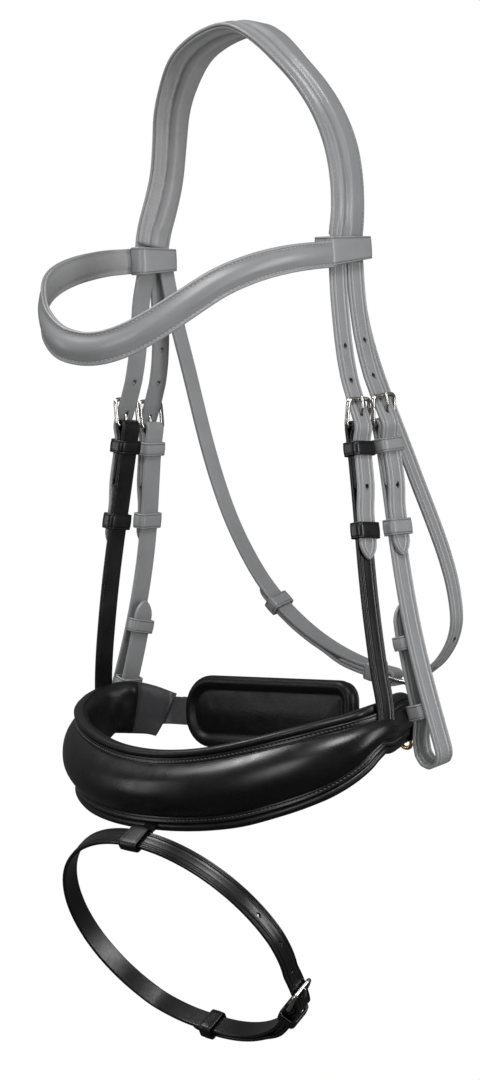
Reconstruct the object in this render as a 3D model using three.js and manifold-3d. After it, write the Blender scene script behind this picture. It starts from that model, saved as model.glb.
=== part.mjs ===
// English bridle with a padded crank noseband and a flash strap.
// Units are millimetres, +Z is up, -Y is towards the horse's nose, +X is the
// near (left) side.  The origin is the middle of the underside of the crown,
// where a bridle hook or the poll carries it.
//
// Every strap is a ribbon laid along a route: P(s) is the point at arc length s
// and each point of the strap is P + n*N + w*W, with N the outward normal and W
// the direction across the strap.  A buckle station is written in the same
// (s, n) plane, so the strap folded round the hinge bar, the billet that passes
// through the frame, the tongue and the keepers all come from one small table.

import * as THREE from 'three';
import { mergeVertices } from 'three/addons/utils/BufferGeometryUtils.js';
import Module from 'manifold-3d';

const wasm = await Module();
wasm.setup();

// ---------------------------------------------------------------- dimensions
const STRAP_W = 16;            // cheekpieces, hangers and their billets
const THROAT_W = 13;           // throatlash
const FLASH_W = 15;            // flash strap
const CRANK_W = 20;            // crank strap
const LEATHER = 2.6;           // one folded and stitched strap
const GAP = 0.3;               // between leather layers that lie on each other
const LAYER = LEATHER + GAP;   // 2.9
const BAR_R = 1.5;             // buckle wire
const FOLD_R = 3.2;            // centreline radius of the strap round a bar
const FRAME_H = 18;            // hinge bar to top bar
const TONGUE_R = 1.1;
const SHORT_END = 42;          // sewn-back end of a buckled strap
const KEEPER_T = 1.8;
const KEEPER_L = 10;
const SPLIT_S = 16.5;          // where the billets leave the headpiece

// ------------------------------------------------------------------- routes
const NEAR_H = [[91.2,2.6,-156.5],[94.3,0.3,-182.2],[97.9,-1.1,-207.9],[101.9,-1.5,-233.6],[106.3,-1.3,-259.2],[110.6,-1.2,-284.8],[114.8,-1.9,-310.4],[118.8,-2.9,-336.1],[122.6,-3.8,-361.8],[126.4,-4.1,-387.5],[130.0,-3.3,-413.2],[133.4,-1.5,-438.9],[136.3,0.4,-458.0],[136.7,0.6,-484.0]];
const FAR_H = [[-88.6,-3.6,-155.6],[-90.8,-4.2,-169.0],[-94.0,-4.2,-180.8],[-98.4,-2.1,-206.1],[-102.2,-1.0,-231.4],[-106.1,-0.8,-256.7],[-110.0,-1.2,-282.1],[-113.9,-2.2,-307.4],[-117.7,-3.4,-332.7],[-121.4,-4.7,-358.1],[-124.9,-5.6,-383.4],[-128.3,-5.8,-408.9],[-132.4,-4.6,-434.3],[-136.2,-2.0,-455.5],[-136.7,0.0,-484.0]];
const NEAR_C = [[91.2,20.1,-155.9],[94.7,18.0,-181.2],[99.5,16.6,-206.4],[105.6,15.9,-231.3],[110.8,18.2,-256.3],[114.8,21.9,-281.2],[118.7,23.4,-306.5],[122.6,24.1,-331.8],[126.5,25.1,-357.2],[130.7,26.5,-382.4],[135.0,28.9,-407.6],[139.7,32.3,-432.6],[144.5,36.7,-457.4],[149.2,41.7,-482.2]];
const FAR_C = [[-91.5,8.2,-155.1],[-95.4,14.7,-181.0],[-100.7,21.1,-206.8],[-106.2,25.9,-232.8],[-111.3,27.7,-259.3],[-115.4,27.3,-286.1],[-119.3,28.9,-312.8],[-123.2,30.6,-339.5],[-127.1,30.7,-366.3],[-131.2,29.2,-393.0],[-135.5,26.2,-419.5],[-142.4,24.2,-445.9],[-150.6,24.4,-467.0],[-158.5,27.0,-488.0]];
const THROAT = [[87.6,21.5,-155.5],[88.6,24.6,-170.0],[89.8,28.0,-183.8],[92.4,32.1,-209.9],[94.8,39.7,-236.1],[96.6,49.5,-261.6],[98.1,60.9,-286.5],[99.4,73.1,-311.0],[100.6,85.7,-335.3],[101.8,97.4,-360.1],[102.6,106.2,-386.0],[100.7,110.2,-412.9],[85.8,108.1,-435.2],[61.4,102.9,-445.6],[34.8,97.6,-443.6],[9.4,92.6,-434.7],[-13.9,87.6,-421.2],[-34.5,82.8,-403.9],[-52.2,78.1,-383.5],[-66.5,73.1,-360.7],[-77.3,67.7,-336.1],[-84.4,61.8,-310.3],[-88.5,55.1,-284.1],[-90.4,47.7,-257.8],[-90.7,39.2,-231.7],[-90.2,29.6,-206.1],[-88.9,20.0,-180.8],[-87.8,12.6,-155.3]];
const ARCH = [[91.5,9.6,-142.5],[91.3,11.0,-136],[89.6,13.6,-127],[85.3,17.2,-105],[80.5,16.4,-81],[73.6,10.8,-58],[61.9,6.3,-39],[46.4,1.6,-21.5],[31.2,0.4,-8.5],[15,1.6,0.6],[0,3.0,4.2],[-15,1.6,2.0],[-31.2,0.4,-4.5],[-46.4,1.6,-14.5],[-61.9,6.3,-31],[-73.6,9.6,-50],[-80.5,13.2,-73],[-85.3,13.2,-97],[-89.6,8.8,-119],[-91.3,5.6,-132],[-91.6,3.6,-142.5]];
// browband: ellipse angle from the near loop, through the front, to the far loop, and height
const BROW_A = 97, BROW_B = 158, BROW_Y = -7;
const BROW_Z = [[1.0,-156.6],[9,-158.6],[16,-161.4],[25,-167.2],[35,-177.2],[45,-191.8],[55,-206.0],[65,-216.4],[76,-221.2],[90,-217.6],[104,-206.0],[115,-194.0],[125,-184.2],[135,-176.6],[145,-170.0],[155,-164.0],[164,-159.6],[169.5,-157.4],[176.6,-155.6]];
// noseband: half ellipse over the nose, angle, top edge, bottom edge
const NOSE_A = 133.5, NOSE_B = 84;
const NOSE = [[0,-456.2,-490.6],[8,-458.6,-497.6],[15,-461.6,-506.6],[22,-464.5,-514.6],[30,-468.0,-522.0],[40,-472.8,-528.4],[50,-478.0,-533.6],[60,-483.0,-538.6],[70,-487.0,-541.6],[80,-489.4,-543.2],[90,-490.2,-543.6]];
const NOSE_END = [[119.6,41.2,-459.6,-490.0],[123.6,31.0,-458.6,-490.2],[128.6,17.5,-457.2,-490.4],[131.9,8.2,-456.4,-490.4]];
const NOSE_END_FAR = [[119.6,41.2,-462.0,-490.6],[123.6,31.0,-459.4,-490.2],[128.6,17.5,-457.2,-490.2],[131.9,8.2,-456.4,-490.4]];
// flash strap: a ring in the plane of X and FLASH_D
const FLASH_R = 91.6;
const FLASH_C = new THREE.Vector3(-11, -46.6, -621.2);
const FLASH_D = new THREE.Vector3(0, 0.604, -0.797).normalize();
const FLASH_TOP = FLASH_R * 6.9 * Math.PI / 180;   // station under the noseband
// crank strap line behind the chin
const CRANK_Y = 46.5, CRANK_Z = -475.5, CRANK_X0 = 112;

// ---------------------------------------------------------------- small tools
const v3 = (a) => new THREE.Vector3(a[0], a[1], a[2]);

function solid(verts, tris) {
  let vol = 0;
  for (const [a, b, c] of tris) vol += verts[a].dot(new THREE.Vector3().crossVectors(verts[b], verts[c]));
  if (vol < 0) tris = tris.map(([a, b, c]) => [a, c, b]);
  const g = new THREE.BufferGeometry();
  g.setAttribute('position', new THREE.Float32BufferAttribute(verts.flatMap((p) => [p.x, p.y, p.z]), 3));
  g.setIndex(tris.flat());
  return g;
}

// join equal-sized rings of points into one closed skin; poly is the flat
// outline (2-D) used to close the ends
function skin(rings, closed = false, poly = null) {
  const m = rings[0].length, n = rings.length, verts = rings.flat(), tris = [];
  for (let i = 0; i < (closed ? n : n - 1); i++) {
    const a = i * m, b = ((i + 1) % n) * m;
    for (let j = 0; j < m; j++) {
      const k = (j + 1) % m;
      tris.push([a + j, a + k, b + k], [a + j, b + k, b + j]);
    }
  }
  if (!closed) {
    const ends = (poly
      ? THREE.ShapeUtils.triangulateShape(poly.map((p) => new THREE.Vector2(p[0], p[1])), [])
      : Array.from({ length: m - 2 }, (_, i) => [0, i + 1, i + 2]));
    // the outline's turn decides which way its triangles face
    const area = poly ? poly.reduce((s, p, i) => { const q = poly[(i + 1) % m]; return s + p[0] * q[1] - p[1] * q[0]; }, 0) : 1;
    const same = !poly || area > 0;
    const o = (n - 1) * m;
    for (const t0 of ends) {
      const t = poly ? orient(t0, poly, same) : t0;
      tris.push([t[0], t[2], t[1]]);
      tris.push([o + t[0], o + t[1], o + t[2]]);
    }
  }
  return solid(verts, tris);
}
function orient(t, poly, positive) {
  const [a, b, c] = t.map((i) => poly[i]);
  const area = (b[0] - a[0]) * (c[1] - a[1]) - (b[1] - a[1]) * (c[0] - a[0]);
  return (area > 0) === positive ? t : [t[0], t[2], t[1]];
}

function toManifold(geometry) {
  const g = geometry.clone();
  g.deleteAttribute('normal');
  g.deleteAttribute('uv');
  const w = mergeVertices(g, 1e-4);
  return new wasm.Manifold(new wasm.Mesh({
    numProp: 3,
    vertProperties: new Float32Array(w.attributes.position.array),
    triVerts: new Uint32Array(w.index.array),
  }));
}
function fromManifold(man) {
  const m = man.getMesh();
  const g = new THREE.BufferGeometry();
  g.setAttribute('position', new THREE.BufferAttribute(new Float32Array(m.vertProperties), 3));
  g.setIndex(new THREE.BufferAttribute(new Uint32Array(m.triVerts), 1));
  return g;
}
const cut = (g, ...tools) => fromManifold(tools.reduce((a, t) => a.subtract(toManifold(t)), toManifold(g)));
const join = (g, ...more) => fromManifold(more.reduce((a, t) => a.add(toManifold(t)), toManifold(g)));

// ------------------------------------------------------------------ routes
class Route {
  constructor(points, hint) {
    this.curve = new THREE.CatmullRomCurve3(points.map(v3), false, 'centripetal');
    this.curve.arcLengthDivisions = 800;
    this.length = this.curve.getLength();
    this.hint = hint;
  }
  at(s) {
    const u = Math.min(Math.max(s / this.length, 0), 1);
    const T = this.curve.getTangentAt(u);
    const P = this.curve.getPointAt(u).addScaledVector(T, s - u * this.length);
    const h = this.hint(P);
    const N = h.clone().addScaledVector(T, -h.dot(T)).normalize();
    return { P, T, N, W: new THREE.Vector3().crossVectors(T, N) };
  }
}
class RingRoute {
  at(s) {
    const f = s / FLASH_R, X = new THREE.Vector3(1, 0, 0);
    const N = X.clone().multiplyScalar(Math.sin(f)).addScaledVector(FLASH_D, -Math.cos(f));
    const T = X.clone().multiplyScalar(Math.cos(f)).addScaledVector(FLASH_D, Math.sin(f));
    return { P: FLASH_C.clone().addScaledVector(N, FLASH_R), T, N, W: new THREE.Vector3().crossVectors(T, N) };
  }
}
const put = (f, ds, n, w) => f.P.clone().addScaledVector(f.T, ds).addScaledVector(f.N, n).addScaledVector(f.W, w);
const on = (route, s, n, w) => put(route.at(s), 0, n, w);

// piecewise linear path in (s, n), cut into steps short enough to follow the route
function path(keys, step = 13) {
  const out = [];
  for (let i = 0; i < keys.length - 1; i++) {
    const [a, b] = [keys[i], keys[i + 1]];
    const k = Math.max(1, Math.ceil(Math.abs(b[0] - a[0]) / step));
    for (let j = 0; j < k; j++) out.push([a[0] + (b[0] - a[0]) * j / k, a[1] + (b[1] - a[1]) * j / k]);
  }
  out.push(keys[keys.length - 1]);
  return out;
}
const TIP = { point: [[0, 0.16], [2, 0.42], [6, 0.78], [11, 1]], round: [[0, 0.18], [1, 0.48], [2.6, 0.74], [5, 0.93], [8, 1]], flat: [] };
function withTip(p, kind, halfW) {
  const shape = TIP[kind];
  if (!shape.length) return p.map((q) => [...q, 1]);
  const [s0, n0] = p[0], dir = Math.sign(p[1][0] - s0);
  const scale = kind === 'round' ? halfW / 8 : 1, last = shape[shape.length - 1][0] * scale;
  const head = shape.map(([d, f]) => [s0 + dir * d * scale, n0, f]);
  const rest = p.filter((q, i) => i > 0 && (Math.abs(q[0] - s0) > last + 1.5 || i > 3)).map((q) => [...q, 1]);
  return [...head, ...rest];
}
function ribbon(route, keys, width, thick = LEATHER, start = 'flat', end = 'flat', step = 13) {
  let p = withTip(path(keys, step), start, width / 2);
  if (end !== 'flat') {
    const q = withTip(path([...keys].reverse(), step), end, width / 2);
    const cutAt = TIP[end].length;
    const head = q.slice(0, cutAt).reverse();
    const lim = head[0][0], endS = head[head.length - 1][0], dir = Math.sign(endS - lim);
    // keep the body of the strap up to the shaped end
    const tailFrom = p.length - 1;
    let k = tailFrom;
    while (k > 0 && (p[k][0] - lim) * dir > -1.5 && (endS - p[k][0]) * dir >= -1e-6) k--;
    p = [...p.slice(0, k + 1), ...head];
  }
  const c = p.map(([s, n]) => on(route, s, n, 0));
  const rings = p.map(([s, , f], i) => {
    const a = c[Math.max(i - 1, 0)], b = c[Math.min(i + 1, c.length - 1)];
    const T = b.clone().sub(a).normalize(), W0 = route.at(s).W;
    const N = new THREE.Vector3().crossVectors(W0, T).normalize();
    const W = new THREE.Vector3().crossVectors(T, N);
    const hw = width / 2 * f, ht = thick / 2;
    return [[-ht, -hw], [ht, -hw], [ht, hw], [-ht, hw]].map(([n, w]) => c[i].clone().addScaledVector(N, n).addScaledVector(W, w));
  });
  return skin(rings);
}

// box written in the frame of one station
function stationBox(route, s, s0, s1, n0, n1, w0, w1) {
  const f = route.at(s);
  const r = (d) => [[n0, w0], [n1, w0], [n1, w1], [n0, w1]].map(([n, w]) => put(f, d, n, w));
  return skin([r(s0), r(s1)]);
}

// leather loop round the straps at station s, eight-cornered
function keeper(route, s, n0, n1, halfW, length = KEEPER_L, t = KEEPER_T) {
  const f = route.at(s);
  const oct = (g, ch) => {
    const a = n0 - g, b = n1 + g, w = halfW + g;
    return [[a + ch, -w], [b - ch, -w], [b, -w + ch], [b, w - ch], [b - ch, w], [a + ch, w], [a, w - ch], [a, -w + ch]];
  };
  const ring = (g, ch, d) => oct(g, ch).map(([n, w]) => put(f, d, n, w));
  const h = length / 2;
  return skin([ring(0, 0.5, -h), ring(t, 1.6, -h), ring(t, 1.6, h), ring(0, 0.5, h)], true);
}

// round wire swept along a closed or open list of (s, n, w)
function wire(route, pts, r, closed, sides = 6) {
  const c = pts.map(([s, n, w]) => on(route, s, n, w)), k = c.length;
  const up = new THREE.Vector3();
  for (let i = 0; i < k; i++) { const a = c[i], b = c[(i + 1) % k], d = c[(i + 2) % k]; up.add(new THREE.Vector3().crossVectors(b.clone().sub(a), d.clone().sub(b))); }
  up.normalize();
  const rings = c.map((p, i) => {
    const a = closed ? c[(i + k - 1) % k] : c[Math.max(i - 1, 0)], b = closed ? c[(i + 1) % k] : c[Math.min(i + 1, k - 1)];
    const T = b.clone().sub(a).normalize();
    const side = new THREE.Vector3().crossVectors(T, up).normalize();
    const nrm = new THREE.Vector3().crossVectors(side, T);
    return Array.from({ length: sides }, (_, j) => {
      const q = (j + 0.5) / sides * Math.PI * 2;
      return p.clone().addScaledVector(side, Math.cos(q) * r).addScaledVector(nrm, Math.sin(q) * r);
    });
  });
  return skin(rings, closed);
}

// ----------------------------------------------------------- buckle station
// h: station of the hinge bar, n0: height of the lower strap there
function buckleFrame(route, h, halfW, n0 = 0) {
  const hw = halfW + 0.8 + BAR_R, c = 2.6;
  const top = 8.5, low = FOLD_R;
  const at = (k, w) => [h - FRAME_H * k, n0 + low + (top - low) * k, w];
  const kc = c / FRAME_H;
  const corner = (k, w, kk, ww) => [at(k + kk * kc, w), at(k + kk * kc * 0.3, w - ww * c * 0.3), at(k, w - ww * c)];
  const pts = [
    ...corner(0, -hw, 1, -1), ...corner(0, hw, 1, 1).reverse(),
    ...corner(1, hw, -1, 1), ...corner(1, -hw, -1, -1).reverse(),
  ];
  return wire(route, pts, BAR_R, true);
}
function tongue(route, h, n0 = 0) {
  const R = BAR_R + 0.35 + TONGUE_R, pts = [];
  for (let a = -120; a <= 90; a += 35) pts.push([h + R * Math.cos(a * Math.PI / 180), n0 + FOLD_R + R * Math.sin(a * Math.PI / 180), 0]);
  for (const [s, n] of [[-3.5, 5.6], [-6.5, 6.4], [-9, 8.9], [-11.5, 10.4], [-15, 11.15], [-19.6, 11.35]]) pts.push([h + s, n0 + n, 0]);
  return wire(route, pts, TONGUE_R, false);
}
const tongueSlot = (route, h, n0 = 0) => stationBox(route, h, -7, 7.5, n0 - 3, n0 + 9.3, -1.9, 1.9);
const billetHole = (route, h, n0 = 0) => stationBox(route, h - 7.5, -5.2, 5.2, n0 + 4, n0 + 12, -1.8, 1.8);
// strap coming up from below, folded round the hinge bar and sewn back
function foldKeys(h, n0 = 0) {
  const keys = [];
  for (const a of [-90, -125, -160, 160, 125, 90]) keys.push([h + FOLD_R * Math.cos(a * Math.PI / 180), n0 + FOLD_R + FOLD_R * Math.sin(a * Math.PI / 180)]);
  return [...keys, [h + 2, n0 + 6.25], [h + 5, n0 + 4.6], [h + 8, n0 + 3.2], [h + 10.5, n0 + LAYER], [h + SHORT_END, n0 + LAYER]];
}
// billet through the frame and down to its tip
const billetKeys = (h, tip, n0 = 0) => [[h - 32, n0 + 2.3], [h - 18, n0 + 5.1], [h - 9, n0 + 7.25], [h, n0 + 9.4], [h + 3, n0 + 8.8], [h + 6, n0 + 7.4], [h + 9, n0 + 6.2], [h + 12, n0 + 5.9], [h + SHORT_END, n0 + 5.9], [h + SHORT_END + 5, n0 + 4.6], [h + SHORT_END + 9, n0 + 3.2], [tip, n0 + 3.2]];

// --------------------------------------------------------------- materials
const mat = (c, r, m = 0) => new THREE.MeshStandardMaterial({ color: c, roughness: r, metalness: m });
const GREY = () => mat(0x85868a, 0.5), BLACK = () => mat(0x17171a, 0.42), PAD = () => mat(0x1d1d1f, 0.6);
const STEEL = () => mat(0xb9b7b2, 0.25, 1), BRASS = () => mat(0xb8914a, 0.3, 1);

const bridle = new THREE.Group();
const groups = {};
function add(group, name, geometry, material, joint) {
  if (!groups[group]) { groups[group] = new THREE.Group(); groups[group].name = group; bridle.add(groups[group]); }
  const mesh = new THREE.Mesh(geometry, material);
  mesh.name = name;
  if (joint) mesh.userData.joint = joint;
  groups[group].add(mesh);
  return mesh;
}
const hingeAt = (route, h, n0 = 0) => { const f = route.at(h); return { pos: put(f, 0, n0 + FOLD_R, 0).toArray(), axis: f.W.toArray(), tangent: f.T.toArray(), normal: f.N.toArray() }; };
const slideAt = (route, s) => { const f = route.at(s); return { pos: f.P.toArray(), axis: f.T.toArray(), normal: f.N.toArray() }; };

const sideways = (sg) => () => new THREE.Vector3(sg, 0, 0);
const R = {
  nearH: new Route(NEAR_H, sideways(1)), farH: new Route(FAR_H, sideways(-1)),
  nearC: new Route(NEAR_C, sideways(1)), farC: new Route(FAR_C, sideways(-1)),
  throat: new Route(THROAT, (p) => {
    const k = Math.min(Math.max((-350 - p.z) / 95, 0), 1);
    return new THREE.Vector3(p.x / 90, 0.22 * k, -1.1 * k * k);
  }),
  arch: new Route(ARCH, (p) => new THREE.Vector3(p.x / 92, 0, Math.max(0.0, (p.z + 96) / 96))),
  flash: new RingRoute(),
  crank: new Route([[CRANK_X0, CRANK_Y, CRANK_Z], [0, CRANK_Y, CRANK_Z], [-CRANK_X0, CRANK_Y, CRANK_Z]], () => new THREE.Vector3(0, 1, 0)),
};

// --------------------------------------------------------------- headpiece
function sectionLoft(route, from, to, count, section) {
  const rings = [];
  let poly;
  for (let i = from; i <= to; i++) {
    const s = route.length * i / count;
    poly = section(s, i / count);
    rings.push(poly.map(([n, w]) => on(route, s, n, w)));
  }
  return skin(rings, false, poly);
}
const archHalf = (u) => 15.6 + 5.6 * Math.exp(-Math.pow((u - 0.5) / 0.17, 2));
const crown = sectionLoft(R.arch, 0, 32, 32, (s, u) => {
  const h = archHalf(u), k = Math.min(1, Math.sin(Math.PI * Math.min(Math.max(u, 0.02), 0.98)) * 2.2);
  return [[-1.2, -h], [1.0, -h], [1.2, -h * 0.64], [1.3 + 2.2 * k, -h * 0.42], [1.4 + 2.7 * k, 0], [1.3 + 2.2 * k, h * 0.42], [1.2, h * 0.64], [1.0, h], [-1.2, h]];
});
const tail = (route, w, lift) => ribbon(route, [[-18, lift], [-11, lift * 0.7], [-4, 0], [SPLIT_S - 0.4, 0]], w, w === THROAT_W ? 2.4 : LEATHER, 'flat', 'flat', 8);
// the throatlash is laid from the near side round to the far side, so its far
// tail is written on the same route turned about
const throatBack = new Route([...THROAT].reverse(), R.throat.hint);
add('headpiece', 'headpiece_outer', join(crown,
  tail(R.nearH, STRAP_W, 0), tail(R.farH, STRAP_W, 3.2), tail(R.nearC, STRAP_W, 0), tail(R.farC, STRAP_W, 0),
  tail(R.throat, THROAT_W, 3.6), tail(throatBack, THROAT_W, 3.6)), GREY());
add('headpiece', 'headpiece_padding', sectionLoft(R.arch, 1, 31, 32, (s, u) => {
  const h = archHalf(u) - 1.2, k = 0.55 + 0.45 * Math.min(1, Math.sin(Math.PI * u) * 3);
  return [[-1.5, h], [-1.5, -h], [-1.5 - 2.2 * k, -h - 0.4], [-1.5 - 3.9 * k, -h * 0.62], [-1.5 - 3.2 * k, 0], [-1.5 - 3.9 * k, h * 0.62], [-1.5 - 2.2 * k, h + 0.4]];
}), GREY());

// ---------------------------------------------------------------- browband
const browPts = BROW_Z.map(([a, z]) => {
  const t = a * Math.PI / 180;
  return new THREE.Vector3(BROW_A * Math.cos(t), BROW_Y - BROW_B * Math.sin(t), z);
});
function bandLoft(pts, halfs, section) {
  const rings = [];
  let poly;
  pts.forEach((p, i) => {
    const a = pts[Math.max(i - 1, 0)], b = pts[Math.min(i + 1, pts.length - 1)];
    const T = b.clone().sub(a).normalize();
    const N = new THREE.Vector3(T.y, -T.x, 0).normalize().multiplyScalar(p.x * T.y - (p.y) * T.x >= 0 ? 1 : -1);
    const W = new THREE.Vector3().crossVectors(T, N).normalize();
    if (W.z < 0) W.negate();
    poly = section(i, halfs[i]);
    rings.push(poly.map(([n, w]) => p.clone().addScaledVector(N, n).addScaledVector(W, w)));
  });
  return skin(rings, false, poly);
}
const browHalf = BROW_Z.map(([a]) => 8.8 + 2.4 * Math.sin(Math.min(a, 180 - a) / 90 * Math.PI / 2));
add('browband', 'browband_face', bandLoft(browPts, browHalf, (i, h) => {
  const k = Math.sin(Math.PI * Math.min(Math.max((i - 1) / (BROW_Z.length - 3), 0), 1));
  return [[0.2, -h], [0.2, h], [1.6, h], [2.2 + 1.4 * k, h * 0.55], [2.4 + 2.4 * k, 0], [2.2 + 1.4 * k, -h * 0.55], [1.6, -h]];
}), GREY());
add('browband', 'browband_lining', bandLoft(browPts, browHalf, (i, h) => [[-0.1, -h + 0.5], [-0.1, h - 0.5], [-1.6, h - 0.2], [-2.8, h * 0.5], [-2.8, -h * 0.5], [-1.6, -h + 0.2]]), GREY());
function browLoop(sg, z, y0, y1, x0, x1) {
  // loop round the three tails, closed outside by the band's end
  const f = { P: new THREE.Vector3(sg * (x0 + x1) / 2, (y0 + y1) / 2, z), T: new THREE.Vector3(0, 0, -1), N: new THREE.Vector3(sg, 0, 0), W: new THREE.Vector3(0, 1, 0) };
  const hx = (x1 - x0) / 2, hy = (y1 - y0) / 2, t = 2.0;
  const oct = (g, ch) => { const a = hx + g, w = hy + g; return [[-a + ch, -w], [a - ch, -w], [a, -w + ch], [a, w - ch], [a - ch, w], [-a + ch, w], [-a, w - ch], [-a, -w + ch]]; };
  const ring = (g, ch, d) => oct(g, ch).map(([n, w]) => put(f, d, n, w));
  return skin([ring(0, 1, -9.4), ring(t, 2.6, -9.4), ring(t, 2.6, 9.4), ring(0, 1, 9.4)], true);
}
add('browband', 'browband_loop_near', browLoop(1, -156.6, -6.6, 30.6, 85.8, 95.4), GREY());
add('browband', 'browband_loop_far', browLoop(-1, -155.4, -12.8, 22.2, 85.8, 96.4), GREY());

// ------------------------------------------------- strap sets with a buckle
const HINGE = { nearH: 117.5, farH: 117.5, nearC: 116.5, farC: 121.5 };
const KEEP2 = { nearH: 187.4, farH: 186.0, nearC: 187.0, farC: 188.5 };
const TIPS = { nearH: 207, farH: 204.5, nearC: 206.5, farC: 206.5 };
function strapSet(id, side, word, strapName, group, strapKeys, billetMat, strapMat, extraCut = []) {
  const r = R[id], h = HINGE[id];
  add(group, `${word}_billet_${side}`, cut(ribbon(r, [[SPLIT_S + (word === 'cheek' ? 0.6 : 0.1), 0], [h - 62, 0.3], [h - 46, 1.0], ...billetKeys(h, TIPS[id])], STRAP_W, LEATHER, word === 'cheek' ? 'flat' : 'round', 'point'), billetHole(r, h)), billetMat());
  add(group, strapName, cut(ribbon(r, strapKeys(h, r), STRAP_W, LEATHER, 'flat', 'flat', 13), tongueSlot(r, h)), strapMat());
  add(group, `${word}_buckle_${side}`, buckleFrame(r, h, STRAP_W / 2), STEEL());
  add(`${word}_tongue_${side}`, `${word}_tongue_${side}`, tongue(r, h), STEEL(), hingeAt(r, h));
  add(group, `${word}_keeper_fixed_${side}`, keeper(r, h + 15, -1.8, 7.9, STRAP_W / 2 + 0.6, 9.6), strapMat());
  add(`${word}_keeper_${side}`, `${word}_keeper_sliding_${side}`, keeper(r, KEEP2[id], -2.0, 5.1, STRAP_W / 2 + 0.8, 11), strapMat(), slideAt(r, KEEP2[id]));
}
for (const [side, id] of [['near', 'nearH'], ['far', 'farH']]) {
  strapSet(id, side, 'noseband', `noseband_hanger_${side}`, 'noseband', (h, r) => [[r.length - 5, 0], [h + 60, 0], ...foldKeys(h)], GREY, BLACK);
}
// bit loop at the foot of a cheekpiece: the strap turns inwards and comes back up
function bitLoop(loopS, radius, tip, lowK, upK, back) {
  const c = radius;
  const keys = [[tip, -back[0]], [upK - 6, -back[1]], [upK + 6, -back[1]], [lowK - 6, -back[2]], [lowK + 6, -back[2] - 0.6], [loopS - c * 0.95, -2 * c + 1.4]];
  for (const a of [-90, -50, -10, 30, 60, 90]) keys.push([loopS + c * Math.cos(a * Math.PI / 180), -c + c * Math.sin(a * Math.PI / 180)]);
  return keys;
}
const BIT = {
  nearC: { loop: 340, r: 9.8, tip: 238.5, up: 264, low: 311, back: [7, 9, 11.3] },
  farC: { loop: 336, r: 6.5, tip: 245.5, up: 264, low: 306, back: [6.4, 7.2, 8.4] },
};
for (const [side, id] of [['near', 'nearC'], ['far', 'farC']]) {
  const b = BIT[id], r = R[id];
  strapSet(id, side, 'cheek', `cheekpiece_${side}`, `cheek_${side}`, (h) => [...bitLoop(b.loop, b.r, b.tip, b.low, b.up, b.back), [b.loop - 12, 0], [h + 60, 0], ...foldKeys(h)], GREY, GREY);
  add(`cheek_${side}`, `bit_keeper_upper_${side}`, keeper(r, b.up, -b.back[1] - 2.1, -3.6, STRAP_W / 2 + 0.6, 9.6), GREY());
  add(`cheek_${side}`, `bit_keeper_lower_${side}`, keeper(r, b.low, -b.back[2] - 2.6, -3.6, STRAP_W / 2 + 0.6, 10.4), GREY());
}

// --------------------------------------------------------------- throatlash
{
  const r = R.throat, h = 340, tip = 467, L = r.length;
  add('throatlash', 'throatlash_billet_near', cut(ribbon(r, [[SPLIT_S + 0.7, 0], [h - 62, 0.3], [h - 46, 1.0], ...billetKeys(h, tip)], THROAT_W, LEATHER, 'round', 'point', 9), billetHole(r, h)), GREY());
  add('throatlash', 'throatlash_strap_far', cut(ribbon(r, [[L - SPLIT_S - 0.7, 0], [h + 60, 0], ...foldKeys(h)], THROAT_W, LEATHER, 'round', 'flat', 9), tongueSlot(r, h)), GREY());
  add('throatlash', 'throatlash_buckle', buckleFrame(r, h, THROAT_W / 2), STEEL());
  add('throatlash_tongue', 'throatlash_tongue', tongue(r, h), STEEL(), hingeAt(r, h));
  add('throatlash', 'throatlash_keeper_fixed', keeper(r, h + 15, -1.8, 7.9, THROAT_W / 2 + 0.6, 9), GREY());
  add('throatlash_keeper', 'throatlash_keeper_sliding', keeper(r, 447, -2.1, 5.2, THROAT_W / 2 + 0.8, 10), GREY(), slideAt(r, 447));
}

// ----------------------------------------------------------------- noseband
const nosePts = [], noseHalf = [];
for (const [x, y, t, b] of NOSE_END) { nosePts.push(new THREE.Vector3(x, y, (t + b) / 2)); noseHalf.push((t - b) / 2); }
for (const [a, t, b] of NOSE) { const q = a * Math.PI / 180; nosePts.push(new THREE.Vector3(NOSE_A * Math.cos(q), -NOSE_B * Math.sin(q), (t + b) / 2)); noseHalf.push((t - b) / 2); }
for (let i = nosePts.length - 2; i >= NOSE_END.length; i--) { const p = nosePts[i]; nosePts.push(new THREE.Vector3(-p.x, p.y, p.z)); noseHalf.push(noseHalf[i]); }
for (const [x, y, t, b] of [...NOSE_END_FAR].reverse()) { nosePts.push(new THREE.Vector3(-x, y, (t + b) / 2)); noseHalf.push((t - b) / 2); }
const crownN = (i) => { const k = 1 - Math.abs(i - (nosePts.length - 1) / 2) / ((nosePts.length - 1) / 2); return 4.6 + 8.6 * Math.pow(Math.min(1, k * 1.25), 0.9); };
const flatW = (pts, halfs, f) => bandLoft(pts, halfs, f);
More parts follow.
